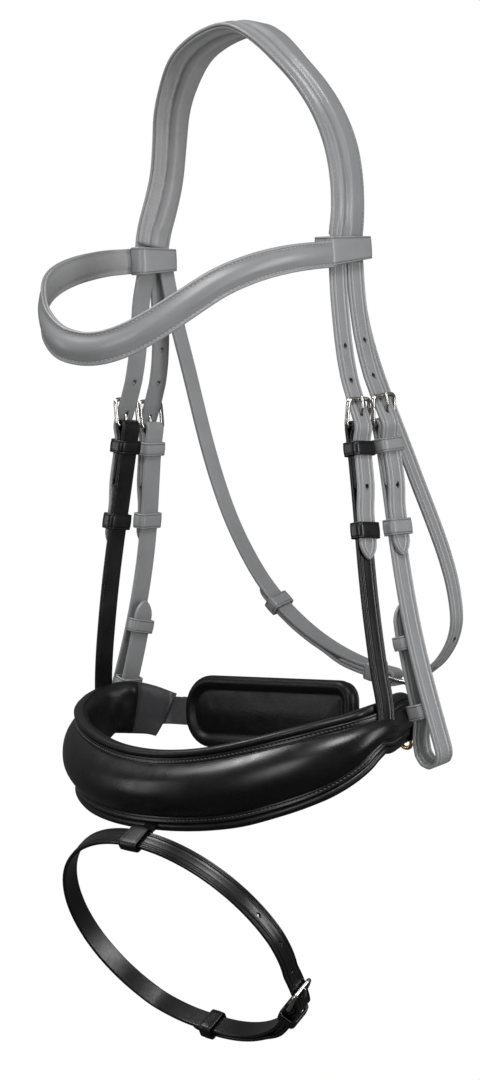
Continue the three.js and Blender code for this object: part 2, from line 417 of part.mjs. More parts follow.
// the core stops short of both ends, where the crank strap and the ring chape
// are sewn in between the lining and the cover
add('noseband', 'noseband_core', flatW(nosePts.slice(1, -1), noseHalf.slice(1, -1), (i, h) => [[-1.3, -h + 2.6], [1.3, -h + 2.6], [1.3, h - 2.6], [-1.3, h - 2.6]]), BLACK());
add('noseband', 'noseband_lining', flatW(nosePts, noseHalf, (i, h) => [[-1.6, h - 2.1], [-1.6, -h + 2.1], [1.0, -h + 2.1], [1.0, -h], [-1.0, -h - 0.5], [-4.6, -h - 0.2], [-7.4, -h * 0.6], [-7.4, h * 0.6], [-4.6, h + 0.2], [-1.0, h + 0.5], [1.0, h], [1.0, h - 2.1]]), PAD());
const pocket = (r) => stationBox(r, r.length - 14, -26, 11, -1.75, 1.75, -8.4, 8.4);
add('noseband', 'noseband_cover', cut(flatW(nosePts, noseHalf, (i, h) => {
  const c = crownN(i), g = h - 4.6;
  return [[1.6, -g], [1.6, g], [2.8, g], [1.6 + (c - 1.6) * 0.66, g * 0.76], [c, g * 0.3], [c, -g * 0.3], [1.6 + (c - 1.6) * 0.66, -g * 0.76], [2.8, -g]];
}), pocket(R.nearH), pocket(R.farH)), BLACK());
add('flash', 'flash_tab', keeper(R.flash, FLASH_TOP, -2.2, 2.2, FLASH_W / 2 + 0.8, 12, 2.0), BLACK());

// -------------------------------------------------------------- flash strap
{
  const r = R.flash, round = 2 * Math.PI * FLASH_R;
  const deg = FLASH_R * Math.PI / 180, h = 123 * deg, tip = 206 * deg, k2 = 194 * deg, F0 = -5;
  const back = h - round;
  const keys = [...billetKeys(h, tip, F0).reverse(), [h - 46, -1.2], [h - 64, 0], [h - 80, 0], [0, 0], [back + 160, 0], [back + 138, F0 * 0.5], [back + 118, F0], [back + 60, F0], ...foldKeys(back, F0)];
  add('flash', 'flash_strap', cut(ribbon(r, keys, FLASH_W, LEATHER, 'point', 'flat', 10), billetHole(r, h, F0), tongueSlot(r, h, F0)), BLACK());
  add('flash', 'flash_buckle', buckleFrame(r, h, FLASH_W / 2, F0), STEEL());
  add('flash_tongue', 'flash_tongue', tongue(r, h, F0), STEEL(), hingeAt(r, h, F0));
  add('flash', 'flash_keeper_fixed', keeper(r, h + 15, F0 - 2.0, F0 + 8.3, FLASH_W / 2 + 0.6, 9), BLACK());
  add('flash_keeper', 'flash_keeper_sliding', keeper(r, k2, F0 - 2.2, F0 + 5.4, FLASH_W / 2 + 0.8, 10), BLACK(), { pos: FLASH_C.toArray(), axis: r.at(0).W.toArray(), centre: true });
}

// --------------------------------------------------------------- crank strap
const CH = 129;                 // buckle station on the crank line
{
  const r = R.crank, a = 6;     // ring bar nearest the strap
  const ringFold = [-90, -125, -160, 160, 125, 90].map((q) => [a + FOLD_R * Math.cos(q * Math.PI / 180), FOLD_R + FOLD_R * Math.sin(q * Math.PI / 180)]);
  const keys = [[235.0, -13.65], [232.2, -6.2], [230.3, -2.4], [227.2, -0.5], [223.2, 0], [a + 20, 0], ...ringFold, [a + 4, 6.0], [a + 12, 4.2], [a + 20, 3.2], [CH - 50, 3.2], [CH - 40, 4.0], ...billetKeys(CH, CH + 62, LAYER).slice(0, -3), [CH + 62, LAYER + 5.9]];
  add('noseband', 'crank_strap', cut(ribbon(r, keys, CRANK_W, LEATHER, 'flat', 'point', 16), billetHole(r, CH, LAYER)), BLACK());
  add('noseband', 'crank_buckle_chape', cut(ribbon(r, [[219, LAYER], [CH + 60, LAYER], ...foldKeys(CH, LAYER)], CRANK_W, LEATHER, 'flat', 'flat', 16), tongueSlot(r, CH, LAYER)), BLACK());
  add('noseband', 'crank_buckle', buckleFrame(r, CH, CRANK_W / 2, LAYER), STEEL());
  add('crank_tongue', 'crank_tongue', tongue(r, CH, LAYER), STEEL(), hingeAt(r, CH, LAYER));
  add('noseband', 'crank_keeper', keeper(r, CH + 15.5, -1.9, LAYER + 8.0, CRANK_W / 2 + 0.6, 9), BLACK());
  // the ring at the near end of the noseband and the fold that holds it
  const b = -2.8, rr = 1.4, hw = 14.6, rc = 3;
  const ringPts = [[a, -hw + rc], [a, hw - rc], [a - 0.9, hw - 0.9], [a - rc, hw], [b + rc, hw], [b + 0.9, hw - 0.9], [b, hw - rc], [b, -hw + rc], [b + 0.9, -hw + 0.9], [b + rc, -hw], [a - rc, -hw], [a - 0.9, -hw + 0.9]];
  add('noseband', 'crank_ring_near', wire(r, ringPts.map(([s, w]) => [s, FOLD_R, w]), rr, true), BRASS());
  const q = 2.7, arc = [-90, -45, 0, 45, 90].map((d) => [b + q * Math.cos(d * Math.PI / 180), FOLD_R + q * Math.sin(d * Math.PI / 180)]);
  add('noseband', 'crank_ring_chape', ribbon(r, [[-10.9, -13.7], [-7.6, -5.3], [-6.2, -1.6], [-4.9, 0.1], ...arc, [-4.6, 5.6], [-6.6, 4.4], [-8.0, 2.4], [-8.9, 0.2], [-9.6, -2.2]], 19, 2.0), BLACK());
}

// ----------------------------------------------------------------- chin pad
function roundedOutline(hx, hz, rad, steps = 5) {
  const out = [];
  for (const [cx, cz, a0] of [[hx - rad, hz - rad, 0], [-hx + rad, hz - rad, 90], [-hx + rad, -hz + rad, 180], [hx - rad, -hz + rad, 270]]) {
    for (let i = 0; i <= steps; i++) { const a = (a0 + 90 * i / steps) * Math.PI / 180; out.push([cx + rad * Math.cos(a), cz + rad * Math.sin(a)]); }
  }
  return out;
}
function plate(levels) {
  const rings = levels.map(([y, inset]) => roundedOutline(81.5 - inset, 25.5 - inset, 17 - Math.min(inset, 8)).map(([x, z]) => new THREE.Vector3(x - 6.5, y, CRANK_Z + 1.8 + z)));
  return skin(rings, false, roundedOutline(80, 24, 12));
}
add('chin_pad', 'chin_pad_cushion', plate([[31, 7], [32.4, 2.4], [35, 0.2], [38, 0], [39.4, 1]]), PAD());
add('chin_pad', 'chin_pad_backing', plate([[39.8, 1.2], [42.2, 1.2]]), BLACK());
add('chin_pad', 'chin_pad_loop_near', keeper(R.crank, 112 - 54, -1.9, 5.3, CRANK_W / 2 + 0.8, 10), BLACK());
add('chin_pad', 'chin_pad_loop_far', keeper(R.crank, 112 + 66, -1.9, 10.9, CRANK_W / 2 + 0.8, 10), BLACK());

bridle.userData.marks = { nearH: R.nearH.at(SPLIT_S + 8).P.toArray(), farH: R.farH.at(SPLIT_S + 8).P.toArray(), nearC: R.nearC.at(SPLIT_S + 0.6).P.toArray(), farC: R.farC.at(SPLIT_S + 0.6).P.toArray(), throat: R.throat.at(SPLIT_S + 7.2).P.toArray(), throatFar: throatBack.at(SPLIT_S + 7.2).P.toArray(), flash: R.flash.at(FLASH_TOP).P.toArray() };

export default bridle;
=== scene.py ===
import bpy, math
import numpy as np
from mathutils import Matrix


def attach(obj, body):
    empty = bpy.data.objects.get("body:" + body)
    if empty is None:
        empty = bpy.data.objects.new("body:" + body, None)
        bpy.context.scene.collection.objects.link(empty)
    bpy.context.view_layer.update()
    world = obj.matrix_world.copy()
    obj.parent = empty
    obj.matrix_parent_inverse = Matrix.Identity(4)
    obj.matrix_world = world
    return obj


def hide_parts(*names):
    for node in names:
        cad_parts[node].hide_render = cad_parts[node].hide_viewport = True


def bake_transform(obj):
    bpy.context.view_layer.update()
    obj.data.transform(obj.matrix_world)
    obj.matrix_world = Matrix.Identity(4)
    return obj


# Full-size snaffle bridle with a padded crank noseband and a flash strap.
# Lengths below are millimetres; make() turns them into metres.

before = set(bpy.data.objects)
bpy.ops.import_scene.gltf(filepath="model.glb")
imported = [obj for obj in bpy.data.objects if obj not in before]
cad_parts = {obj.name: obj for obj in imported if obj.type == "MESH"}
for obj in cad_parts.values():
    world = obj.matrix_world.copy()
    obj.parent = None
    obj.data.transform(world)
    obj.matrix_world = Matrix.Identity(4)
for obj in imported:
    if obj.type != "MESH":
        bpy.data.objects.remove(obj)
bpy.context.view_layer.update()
MM = 0.001
SCN = bpy.context.scene

# ------------------------------------------------------------------ camera
cam_data = bpy.data.cameras.new("camera")
cam = bpy.data.objects.new("camera", cam_data)
SCN.collection.objects.link(cam)
cam_data.sensor_fit = 'AUTO'
cam_data.sensor_width = 24.0
cam_data.lens = 24.0 * 3841.0 / 1080.0
cam_data.clip_end = 60.0
cam.location = (1.8738, -1.8738, -0.2795)
from mathutils import Vector
_p = math.atan(102 / 3841)
cam.rotation_euler = Vector((-math.cos(_p) * math.sqrt(0.5), math.cos(_p) * math.sqrt(0.5), -math.sin(_p))).to_track_quat('-Z', 'Y').to_euler()
SCN.camera = cam

# -------------------------------------------------------------- dimensions
STRAP_W, THROAT_W, FLASH_W, CRANK_W = 16.0, 13.0, 15.0, 20.0
LEATHER, LAYER, BAR_R, FOLD_R, FRAME_H, TONGUE_R, SHORT_END = 2.6, 2.9, 1.5, 3.2, 18.0, 1.1, 42.0
SPLIT_S = 16.5
NEAR_H = [[91.2,1.2,-156.5],[94.3,-0.5,-182.2],[97.9,-1.1,-207.9],[101.9,-1.5,-233.6],[106.3,-1.3,-259.2],[110.6,-1.2,-284.8],[114.8,-1.9,-310.4],[118.8,-2.9,-336.1],[122.6,-3.8,-361.8],[126.4,-4.1,-387.5],[130.0,-3.3,-413.2],[133.4,-1.5,-438.9],[136.3,0.4,-458.0],[136.7,0.6,-484.0]]
FAR_H = [[-88.6,-3.6,-155.6],[-90.8,-4.2,-169.0],[-94.0,-4.2,-180.8],[-98.4,-2.1,-206.1],[-102.2,-1.0,-231.4],[-106.1,-0.8,-256.7],[-110.0,-1.2,-282.1],[-113.9,-2.2,-307.4],[-117.7,-3.4,-332.7],[-121.4,-4.7,-358.1],[-124.9,-5.6,-383.4],[-128.3,-5.8,-408.9],[-132.4,-4.6,-434.3],[-136.2,-2.0,-455.5],[-136.7,0.0,-484.0]]
NEAR_C = [[91.2,17.9,-155.9],[94.7,16.4,-181.2],[99.5,15.8,-206.4],[105.6,15.9,-231.3],[110.8,18.2,-256.3],[114.8,21.9,-281.2],[118.7,23.4,-306.5],[122.6,24.1,-331.8],[126.5,25.1,-357.2],[130.7,26.5,-382.4],[135.0,28.9,-407.6],[139.7,32.3,-432.6],[144.5,36.7,-457.4],[149.2,41.7,-482.2]]
FAR_C = [[-91.5,8.2,-155.1],[-95.4,14.7,-181.0],[-100.7,21.1,-206.8],[-106.2,25.9,-232.8],[-111.3,27.7,-259.3],[-115.4,27.3,-286.1],[-119.3,28.9,-312.8],[-123.2,30.6,-339.5],[-127.1,30.7,-366.3],[-131.2,29.2,-393.0],[-135.5,26.2,-419.5],[-142.4,24.2,-445.9],[-150.6,24.4,-467.0],[-158.5,27.0,-488.0]]
THROAT = [[87.6,17.8,-155.5],[88.6,20.0,-170.0],[89.8,22.6,-183.8],[92.4,27.4,-209.9],[94.8,36.4,-236.1],[96.6,48.2,-261.6],[98.1,60.9,-286.5],[99.4,73.1,-311.0],[100.6,85.7,-335.3],[101.8,97.4,-360.1],[102.6,106.2,-386.0],[100.7,110.2,-412.9],[85.8,108.1,-434.4],[61.4,102.9,-442.6],[34.8,97.6,-439.0],[9.4,92.6,-430.4],[-13.9,87.6,-418.0],[-34.5,82.8,-402.2],[-52.2,78.1,-383.5],[-66.5,73.1,-360.7],[-77.3,67.7,-336.1],[-84.4,61.8,-310.3],[-88.5,55.1,-284.1],[-90.4,47.7,-257.8],[-90.7,39.2,-231.7],[-90.2,29.6,-206.1],[-88.9,20.0,-180.8],[-87.8,12.6,-155.3]]
ARCH = [[91.5,9.6,-142.5],[91.3,11.0,-136],[89.6,13.6,-127],[85.3,17.2,-105],[80.5,16.4,-81],[73.6,10.8,-58],[61.9,6.3,-39],[46.4,1.6,-21.5],[31.2,0.4,-8.5],[15,1.6,0.6],[0,3.0,4.2],[-15,1.6,2.0],[-32.2,0.0,-4.5],[-48.9,0.6,-14.5],[-65.0,4.8,-31],[-76.2,8.2,-50],[-82.4,11.6,-73],[-86.2,12.2,-97],[-89.6,8.8,-119],[-91.3,5.6,-132],[-91.6,3.6,-142.5]]
BROW_A, BROW_B, BROW_Y = 97.0, 158.0, -7.0
BROW_Z = [[1.0,-156.6],[9,-158.6],[16,-161.4],[25,-167.2],[35,-177.2],[45,-191.8],[55,-206.0],[65,-216.4],[76,-221.2],[90,-217.6],[104,-206.0],[115,-194.0],[125,-184.2],[135,-176.6],[145,-170.0],[155,-164.0],[164,-159.6],[169.5,-157.4],[176.6,-155.6]]
NOSE_A, NOSE_B = 133.5, 84.0
NOSE = [[0,-456.2,-490.6],[8,-458.6,-497.6],[15,-461.6,-506.6],[22,-464.5,-514.6],[30,-468.0,-522.0],[40,-472.8,-528.4],[50,-478.0,-533.6],[60,-483.0,-538.6],[70,-487.0,-541.6],[80,-489.4,-543.2],[90,-490.2,-543.6]]
NOSE_END = [[119.6,41.2,-454.5,-484.8],[123.6,31.0,-451.2,-486.0],[128.6,17.5,-453.0,-488.4],[131.9,8.2,-455.8,-490.2]]
NOSE_END_FAR = [[114.6,46.2,-463.6,-496.2],[118.3,44.1,-462.8,-495.4],[119.6,41.2,-461.6,-494.6],[123.6,31.0,-457.6,-492.4],[128.6,17.5,-454.4,-490.8],[131.9,8.2,-454.8,-490.4]]
FLASH_R = 91.6
FLASH_C = np.array([-11.0, -46.6, -621.2])
FLASH_D = np.array([0, 0.604, -0.797]) / math.hypot(0.604, 0.797)
FLASH_TOP = FLASH_R * math.radians(6.9)
CRANK_Y, CRANK_Z, CRANK_X0 = 46.5, -475.5, 112.0

# ------------------------------------------------------------ small algebra
def unit(v):
    v = np.asarray(v, float)
    l = np.linalg.norm(v, axis=-1, keepdims=True)
    return v / np.where(l < 1e-12, 1, l)

def gauss(a, sigma, pinned=True):
    """Smooths rows of a (evenly spaced, 1 unit apart) with a Gaussian; the ends keep their place and slope."""
    if sigma <= 0:
        return a
    r = int(sigma * 3) + 1
    k = np.exp(-0.5 * (np.arange(-r, r + 1) / sigma) ** 2)
    k /= k.sum()
    n = len(a)
    i = np.arange(1, r + 1)
    lo = 2 * a[0] - a[np.minimum(i[::-1], n - 1)]
    hi = 2 * a[-1] - a[np.maximum(n - 1 - i, 0)]
    b = np.concatenate([lo, a, hi])
    return np.stack([np.convolve(b[:, c], k, mode='valid') for c in range(a.shape[1])], 1)

def catmull(points, per=48):
    """Centripetal Catmull-Rom through points."""
    p = np.array(points, float)
    p = np.concatenate([[2 * p[0] - p[1]], p, [2 * p[-1] - p[-2]]])
    out = []
    for i in range(1, len(p) - 2):
        x0, x1, x2, x3 = p[i - 1], p[i], p[i + 1], p[i + 2]
        d0, d1, d2 = [max(math.sqrt(np.linalg.norm(b - a)), 1e-4) for a, b in ((x0, x1), (x1, x2), (x2, x3))]
        t1 = ((x1 - x0) / d0 - (x2 - x0) / (d0 + d1) + (x2 - x1) / d1) * d1
        t2 = ((x2 - x1) / d1 - (x3 - x1) / (d1 + d2) + (x3 - x2) / d2) * d1
        t = np.linspace(0, 1, per, endpoint=False)[:, None]
        out.append(x1 + t1 * t + (-3 * x1 + 3 * x2 - 2 * t1 - t2) * t ** 2 + (2 * x1 - 2 * x2 + t1 + t2) * t ** 3)
    out.append(p[-2][None])
    return np.concatenate(out)

def resample(c, step=1.0):
    s = np.concatenate([[0], np.cumsum(np.linalg.norm(np.diff(c, axis=0), axis=1))])
    n = max(2, int(round(s[-1] / step)) + 1)
    q = np.linspace(0, s[-1], n)
    return np.stack([np.interp(q, s, c[:, k]) for k in range(c.shape[1])], 1), q

class Route:
    """P(s) with a frame: T along, N outward, W across (W = T x N)."""
    def __init__(self, points, hint, sigma=5.0):
        self.P, self.s = resample(catmull(points), 1.0)
        self.length = self.s[-1]
        self.P = gauss(self.P, sigma)
        self.T = unit(np.gradient(self.P, axis=0))
        h = np.array([hint(p) for p in self.P], float)
        N = unit(h - (h * self.T).sum(1)[:, None] * self.T)
        self.N = unit(gauss(N, 6.0))
        self.N = unit(self.N - (self.N * self.T).sum(1)[:, None] * self.T)
        self.W = np.cross(self.T, self.N)
    def at(self, s):
        s = np.atleast_1d(np.asarray(s, float))
        q = np.clip(s, 0, self.length)
        f = lambda a: np.stack([np.interp(q, self.s, a[:, k]) for k in range(3)], 1)
        T, N, W = unit(f(self.T)), unit(f(self.N)), unit(f(self.W))
        return f(self.P) + (s - q)[:, None] * T, T, N, W

class Ring:
    length = 2 * math.pi * FLASH_R
    def at(self, s):
        f = np.atleast_1d(np.asarray(s, float)) / FLASH_R
        X = np.array([1.0, 0, 0])
        c, s_ = np.cos(f)[:, None], np.sin(f)[:, None]
        rx = FLASH_R + 5.2
        T = unit(rx * c * X + FLASH_R * s_ * FLASH_D)
        N = unit(FLASH_R * s_ * X - rx * c * FLASH_D)
        return FLASH_C + 1.8 * X + rx * s_ * X - FLASH_R * c * FLASH_D, T, N, np.cross(T, N)

def put(route, s, ds, n, w):
    P, T, N, W = route.at(s)
    return P[0] + ds * T[0] + n * N[0] + w * W[0]

def _throat_hint(p):
    k = min(max((-350 - p[2]) / 95, 0), 1)
    return (p[0] / 90, 0.22 * k, -1.1 * k * k)

R = {
    'nearH': Route(NEAR_H, lambda p: (1, 0, 0)), 'farH': Route(FAR_H, lambda p: (-1, 0, 0)),
    'nearC': Route(NEAR_C, lambda p: (1, 0, 0)), 'farC': Route(FAR_C, lambda p: (-1, 0, 0)),
    'throat': Route(THROAT, _throat_hint),
    'throatBack': Route(THROAT[::-1], _throat_hint),
    'arch': Route(ARCH, lambda p: (p[0] / 92, 0, max(0.0, (p[2] + 96) / 96)), 4.0),
    'flash': Ring(),
    'crank': Route([[CRANK_X0, CRANK_Y, CRANK_Z], [0, CRANK_Y, CRANK_Z], [-CRANK_X0, CRANK_Y, CRANK_Z]], lambda p: (0, 1, 0)),
}

# ----------------------------------------------------------------- meshes
def make(name, verts, faces, mats, body=None, painted_light=None, fmat=None, sharp=None, flat=False):
    """A mesh object from millimetre vertices. The per-vertex shading value is painted light: 0.5 plain, lower in
    creases as painted shade, higher on ridges and edges as painted highlight.
    """
    me = bpy.data.meshes.new(name)
    me.from_pydata((np.asarray(verts, float) * MM).tolist(), [], [tuple(int(i) for i in f) for f in faces])
    me.validate()
    # per-vertex painted light: painted shade in creases, painted highlight on ridges and edges
    if painted_light is not None:
        a = me.attributes.new("painted_light", 'FLOAT', 'POINT')
        a.data.foreach_set("value", np.asarray(painted_light, np.float32))
    for m in (mats if isinstance(mats, (list, tuple)) else [mats]):
        me.materials.append(m)
    if fmat is not None:
        me.polygons.foreach_set("material_index", np.asarray(fmat, np.int32))
    me.polygons.foreach_set("use_smooth", [not flat] * len(me.polygons))
    me.update()
    o = bpy.data.objects.new(name, me)
    SCN.collection.objects.link(o)
    if sharp:
        me.set_sharp_from_angle(angle=math.radians(sharp))
    if body:
        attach(o, body)
    return o

def loft(rings, closed_along=False, closed_across=True, caps=True, base=0):
    """rings: (k, m, 3). Faces point outwards when each ring runs clockwise seen along the path."""
    rings = np.asarray(rings, float)
    k, m, _ = rings.shape
    f = []
    for i in range(k if closed_along else k - 1):
        a, b = i * m, ((i + 1) % k) * m
        for j in range(m if closed_across else m - 1):
            q = (j + 1) % m
            f.append((base + a + j, base + b + j, base + b + q, base + a + q))
    if caps and not closed_along:
        f.append(tuple(base + j for j in range(m)))
        f.append(tuple(base + (k - 1) * m + j for j in range(m - 1, -1, -1)))
    return rings.reshape(-1, 3), f

def outward(verts, faces):
    """Turns all faces over if the closed mesh is inside out."""
    v = np.asarray(verts)
    vol = 0.0
    for f in faces:
        for i in range(1, len(f) - 1):
            vol += np.dot(v[f[0]], np.cross(v[f[i]], v[f[i + 1]]))
    return faces if vol > 0 else [tuple(reversed(f)) for f in faces]

class Build:
    """Collects several closed shells in one mesh, with a material slot and per-vertex painted light (painted shade and
    painted highlight) per shell.
    """
    def __init__(self):
        self.v, self.f, self.t, self.m, self.n = [], [], [], [], 0
    def add(self, verts, faces, painted_light=0.5, slot=0):
        verts = np.asarray(verts, float)
        faces = outward(verts, faces)
        self.f += [tuple(i + self.n for i in f) for f in faces]
        self.m += [slot] * len(faces)
        self.v.append(verts)
        self.t.append(np.full(len(verts), painted_light) if np.isscalar(painted_light) else np.asarray(painted_light, float))
        self.n += len(verts)
        return self
    def done(self, name, mats, body, **kw):
        return make(name, np.concatenate(self.v), self.f, mats, body, np.concatenate(self.t), self.m, **kw)

# --------------------------------------------------------------- materials
def material(name, color, rough, bump_scale, bump, metal=0.0, spec=0.5, coat=0.0, coat_rough=0.3, vary=0.12, painted_light_gain=0.5, sheen=0.0, grain='leather', mott=55.0):
    m = bpy.data.materials.new(name)
    m.use_nodes = True
    nt = m.node_tree
    nt.nodes.clear()
    N = nt.nodes.new
    L = nt.links.new
    out = N('ShaderNodeOutputMaterial')
    b = N('ShaderNodeBsdfPrincipled')
    L(b.outputs[0], out.inputs[0])
    b.inputs['Metallic'].default_value = metal
    b.inputs['Specular IOR Level'].default_value = spec
    b.inputs['Coat Weight'].default_value = coat
    b.inputs['Coat Roughness'].default_value = coat_rough
    b.inputs['Sheen Weight'].default_value = sheen
    tc = N('ShaderNodeTexCoord')
    # slow mottling of the dye
    n1 = N('ShaderNodeTexNoise'); n1.inputs['Scale'].default_value = mott; n1.inputs['Detail'].default_value = 4.0; n1.inputs['Roughness'].default_value = 0.6
    L(tc.outputs['Object'], n1.inputs['Vector'])
    # fine grain
    n2 = N('ShaderNodeTexVoronoi'); n2.feature = 'SMOOTH_F1'; n2.inputs['Scale'].default_value = bump_scale; n2.inputs['Smoothness'].default_value = 0.6
    n3 = N('ShaderNodeTexNoise'); n3.inputs['Scale'].default_value = bump_scale * 0.45; n3.inputs['Detail'].default_value = 5.0
    L(tc.outputs['Object'], n3.inputs['Vector'])
    warp = N('ShaderNodeMixRGB'); warp.blend_type = 'ADD'; warp.inputs[0].default_value = 0.0008 if grain == 'leather' else 0.0
    L(tc.outputs['Object'], warp.inputs[1]); L(n3.outputs['Color'], warp.inputs[2]); L(warp.outputs[0], n2.inputs['Vector'])
    ramp = N('ShaderNodeValToRGB')
    c = np.array(color[:3])
    ramp.color_ramp.elements[0].position = 0.3
    ramp.color_ramp.elements[1].position = 0.72
    ramp.color_ramp.elements[0].color = (*(c * (1 - vary)), 1)
    ramp.color_ramp.elements[1].color = (*(c * (1 + vary)), 1)
    L(n1.outputs['Fac'], ramp.inputs[0])
    col = ramp.outputs[0]
    # painted light: the per-vertex attribute darkens the base colour in creases (painted shade) and lightens it on
    # ridges and edges (painted highlight)
    if painted_light_gain:
        at = N('ShaderNodeAttribute'); at.attribute_name = "painted_light"
        r2 = N('ShaderNodeValToRGB')
        e = r2.color_ramp.elements
        e[0].position = 0.0; g0 = 1 - painted_light_gain; e[0].color = (g0, g0, g0, 1)
        e[1].position = 1.0; g1 = 1 + painted_light_gain; e[1].color = (g1, g1, g1, 1)
        k = e.new(0.5); k.color = (1, 1, 1, 1)
        L(at.outputs['Fac'], r2.inputs[0])
        mul = N('ShaderNodeMixRGB'); mul.blend_type = 'MULTIPLY'; mul.inputs[0].default_value = 1.0
        L(col, mul.inputs[1]); L(r2.outputs[0], mul.inputs[2])
        col = mul.outputs[0]
    # pores slightly darker than the surface
    pr = N('ShaderNodeValToRGB'); pr.color_ramp.elements[0].position = 0.0; pr.color_ramp.elements[0].color = (1, 1, 1, 1)
    pr.color_ramp.elements[1].position = 0.75; pr.color_ramp.elements[1].color = (0.86, 0.86, 0.86, 1)
    L(n2.outputs['Distance'], pr.inputs[0])
    mp = N('ShaderNodeMixRGB'); mp.blend_type = 'MULTIPLY'; mp.inputs[0].default_value = 0.8 if metal == 0 else 0.0
    L(col, mp.inputs[1]); L(pr.outputs[0], mp.inputs[2])
    L(mp.outputs[0], b.inputs['Base Color'])
    # roughness
    mr = N('ShaderNodeMapRange'); mr.inputs['From Min'].default_value = 0.3; mr.inputs['From Max'].default_value = 0.7
    mr.inputs['To Min'].default_value = rough - 0.06; mr.inputs['To Max'].default_value = rough + 0.07
    L(n1.outputs['Fac'], mr.inputs['Value']); L(mr.outputs[0], b.inputs['Roughness'])
    # bump
    if bump > 0:
        bp = N('ShaderNodeBump'); bp.invert = True
        bp.inputs['Strength'].default_value = 0.55
        bp.inputs['Distance'].default_value = bump
        mixh = N('ShaderNodeMath'); mixh.operation = 'ADD'
        sc = N('ShaderNodeMath'); sc.operation = 'MULTIPLY'; sc.inputs[1].default_value = 0.5
        L(n3.outputs['Fac'], sc.inputs[0]); L(n2.outputs['Distance'], mixh.inputs[0]); L(sc.outputs[0], mixh.inputs[1])
        L(mixh.outputs[0], bp.inputs['Height']); L(bp.outputs[0], b.inputs['Normal'])
    return m

GREY = material("grey_bridle_leather", (0.246, 0.248, 0.253), 0.37, 2000, 0.00005, spec=0.5, coat=0.22, coat_rough=0.26, vary=0.04, painted_light_gain=0.8)
GREY_LIN = material("grey_lining_leather", (0.290, 0.291, 0.296), 0.46, 1100, 0.00014, spec=0.45, vary=0.06, painted_light_gain=0.75)
BLACK = material("black_bridle_leather", (0.0040, 0.0040, 0.0048), 0.30, 1800, 0.00003, spec=0.46, vary=0.10, painted_light_gain=0.8)
BLACK_PAD = material("black_padding_leather", (0.0046, 0.0046, 0.0051), 0.36, 1000, 0.00010, spec=0.42, vary=0.2, painted_light_gain=0.8)
BLACK_CHIN = material("black_chin_pad_leather", (0.0046, 0.0046, 0.0050), 0.38, 1000, 0.00010, spec=0.24, vary=0.2, painted_light_gain=0.8)
# lighter copy of the black leather for the crank strap: painted sheen standing in for the light the strap catches
BLACK_CRANK_PAINTED_SHEEN = material("black_crank_strap_painted_sheen", (0.070, 0.070, 0.074), 0.5, 1400, 0.00008, spec=0.45, vary=0.12, painted_light_gain=0.8)
# lighter copy of the black leather for the far flap: painted sheen standing in for the light the flap catches
BLACK_FLAP_PAINTED_SHEEN = material("black_flap_painted_sheen", (0.042, 0.042, 0.045), 0.45, 1200, 0.00010, spec=0.45, vary=0.15, painted_light_gain=0.8)
THREAD_G = material("grey_thread", (0.36, 0.362, 0.37), 0.6, 5200, 0.00008, spec=0.3, vary=0.08, painted_light_gain=0.3, grain='thread')
# black thread lifted to dark grey: partly the thread's own colour, partly a painted highlight so the stitch rows show
THREAD_B = material("black_thread", (0.085, 0.085, 0.092), 0.45, 5200, 0.00008, spec=0.45, vary=0.2, painted_light_gain=0.3, grain='thread')
STEEL = material("stainless_steel", (0.60, 0.585, 0.56), 0.2, 3000, 0.0, metal=1.0, vary=0.05, painted_light_gain=0.0, grain='metal', mott=300)
BRASS = material("brass", (0.62, 0.43, 0.17), 0.25, 3000, 0.0, metal=1.0, vary=0.08, painted_light_gain=0.0, grain='metal', mott=300)

# ------------------------------------------------------------------ straps
def sn_path(keys, soft=1.1, step=2.6, turn=11.0, fine=()):
    """Dense, softened (s, n) line through the keys, sampled closer where it turns. The fine argument is not used."""
    k = np.array(keys, float)
    c, _ = resample(k, 0.4)
    c = gauss(c, soft / 0.4)
    d = np.gradient(c, axis=0)
    ang = np.unwrap(np.arctan2(d[:, 1], d[:, 0]))
    keep, last, acc = [0], 0, 0.0
    for i in range(1, len(c)):
        acc += np.linalg.norm(c[i] - c[i - 1])
        if acc >= step or abs(ang[i] - ang[last]) > math.radians(turn) and acc > 0.35:
            keep.append(i); last = i; acc = 0.0
    if keep[-1] != len(c) - 1:
        keep[-1] = len(c) - 1
    return c[keep]

TIPS = {
    'point': (11.5, lambda x: (1 - (1 - x) ** 1.9) ** 0.74),
    'round': (8.0, lambda x: np.sqrt(1 - (1 - x) ** 2.1)),
}
def crease_shape(d):
    """Relief of the creased edge: a bead at the edge, a channel, then a fine ridge, d from the edge, mm."""
    g = lambda c, w: np.exp(-((d - c) / w) ** 2)
    return 0.07 * g(0.95, 0.5) - 0.42 * g(2.55, 0.72) + 0.17 * g(4.1, 0.5) - 0.08 * g(5.1, 0.45)

# painted light along creased edges: painted highlight on the edge bead and the fine ridge, painted shade in the channel
def crease_painted_light(d):
    g = lambda c, w: np.exp(-((d - c) / w) ** 2)
    return 0.24 * g(0.9, 0.6) - 0.20 * g(2.55, 0.7) + 0.26 * g(4.1, 0.5)

D_TOP = np.array([0.0, 0.10, 0.32, 0.7, 1.05, 1.45, 1.85, 2.2, 2.55, 2.95, 3.35, 3.75, 4.1, 4.5, 5.1, 5.8])
D_BOT = np.array([0.10, 0.32, 0.7, 1.1, 1.75, 2.45, 3.35, 4.7])

def edge_round(d, ht, re=0.95):
    q = np.clip(d / re, 0, 1)
    return ht * np.sqrt(np.clip(1 - (1 - q) ** 2, 0, 1))

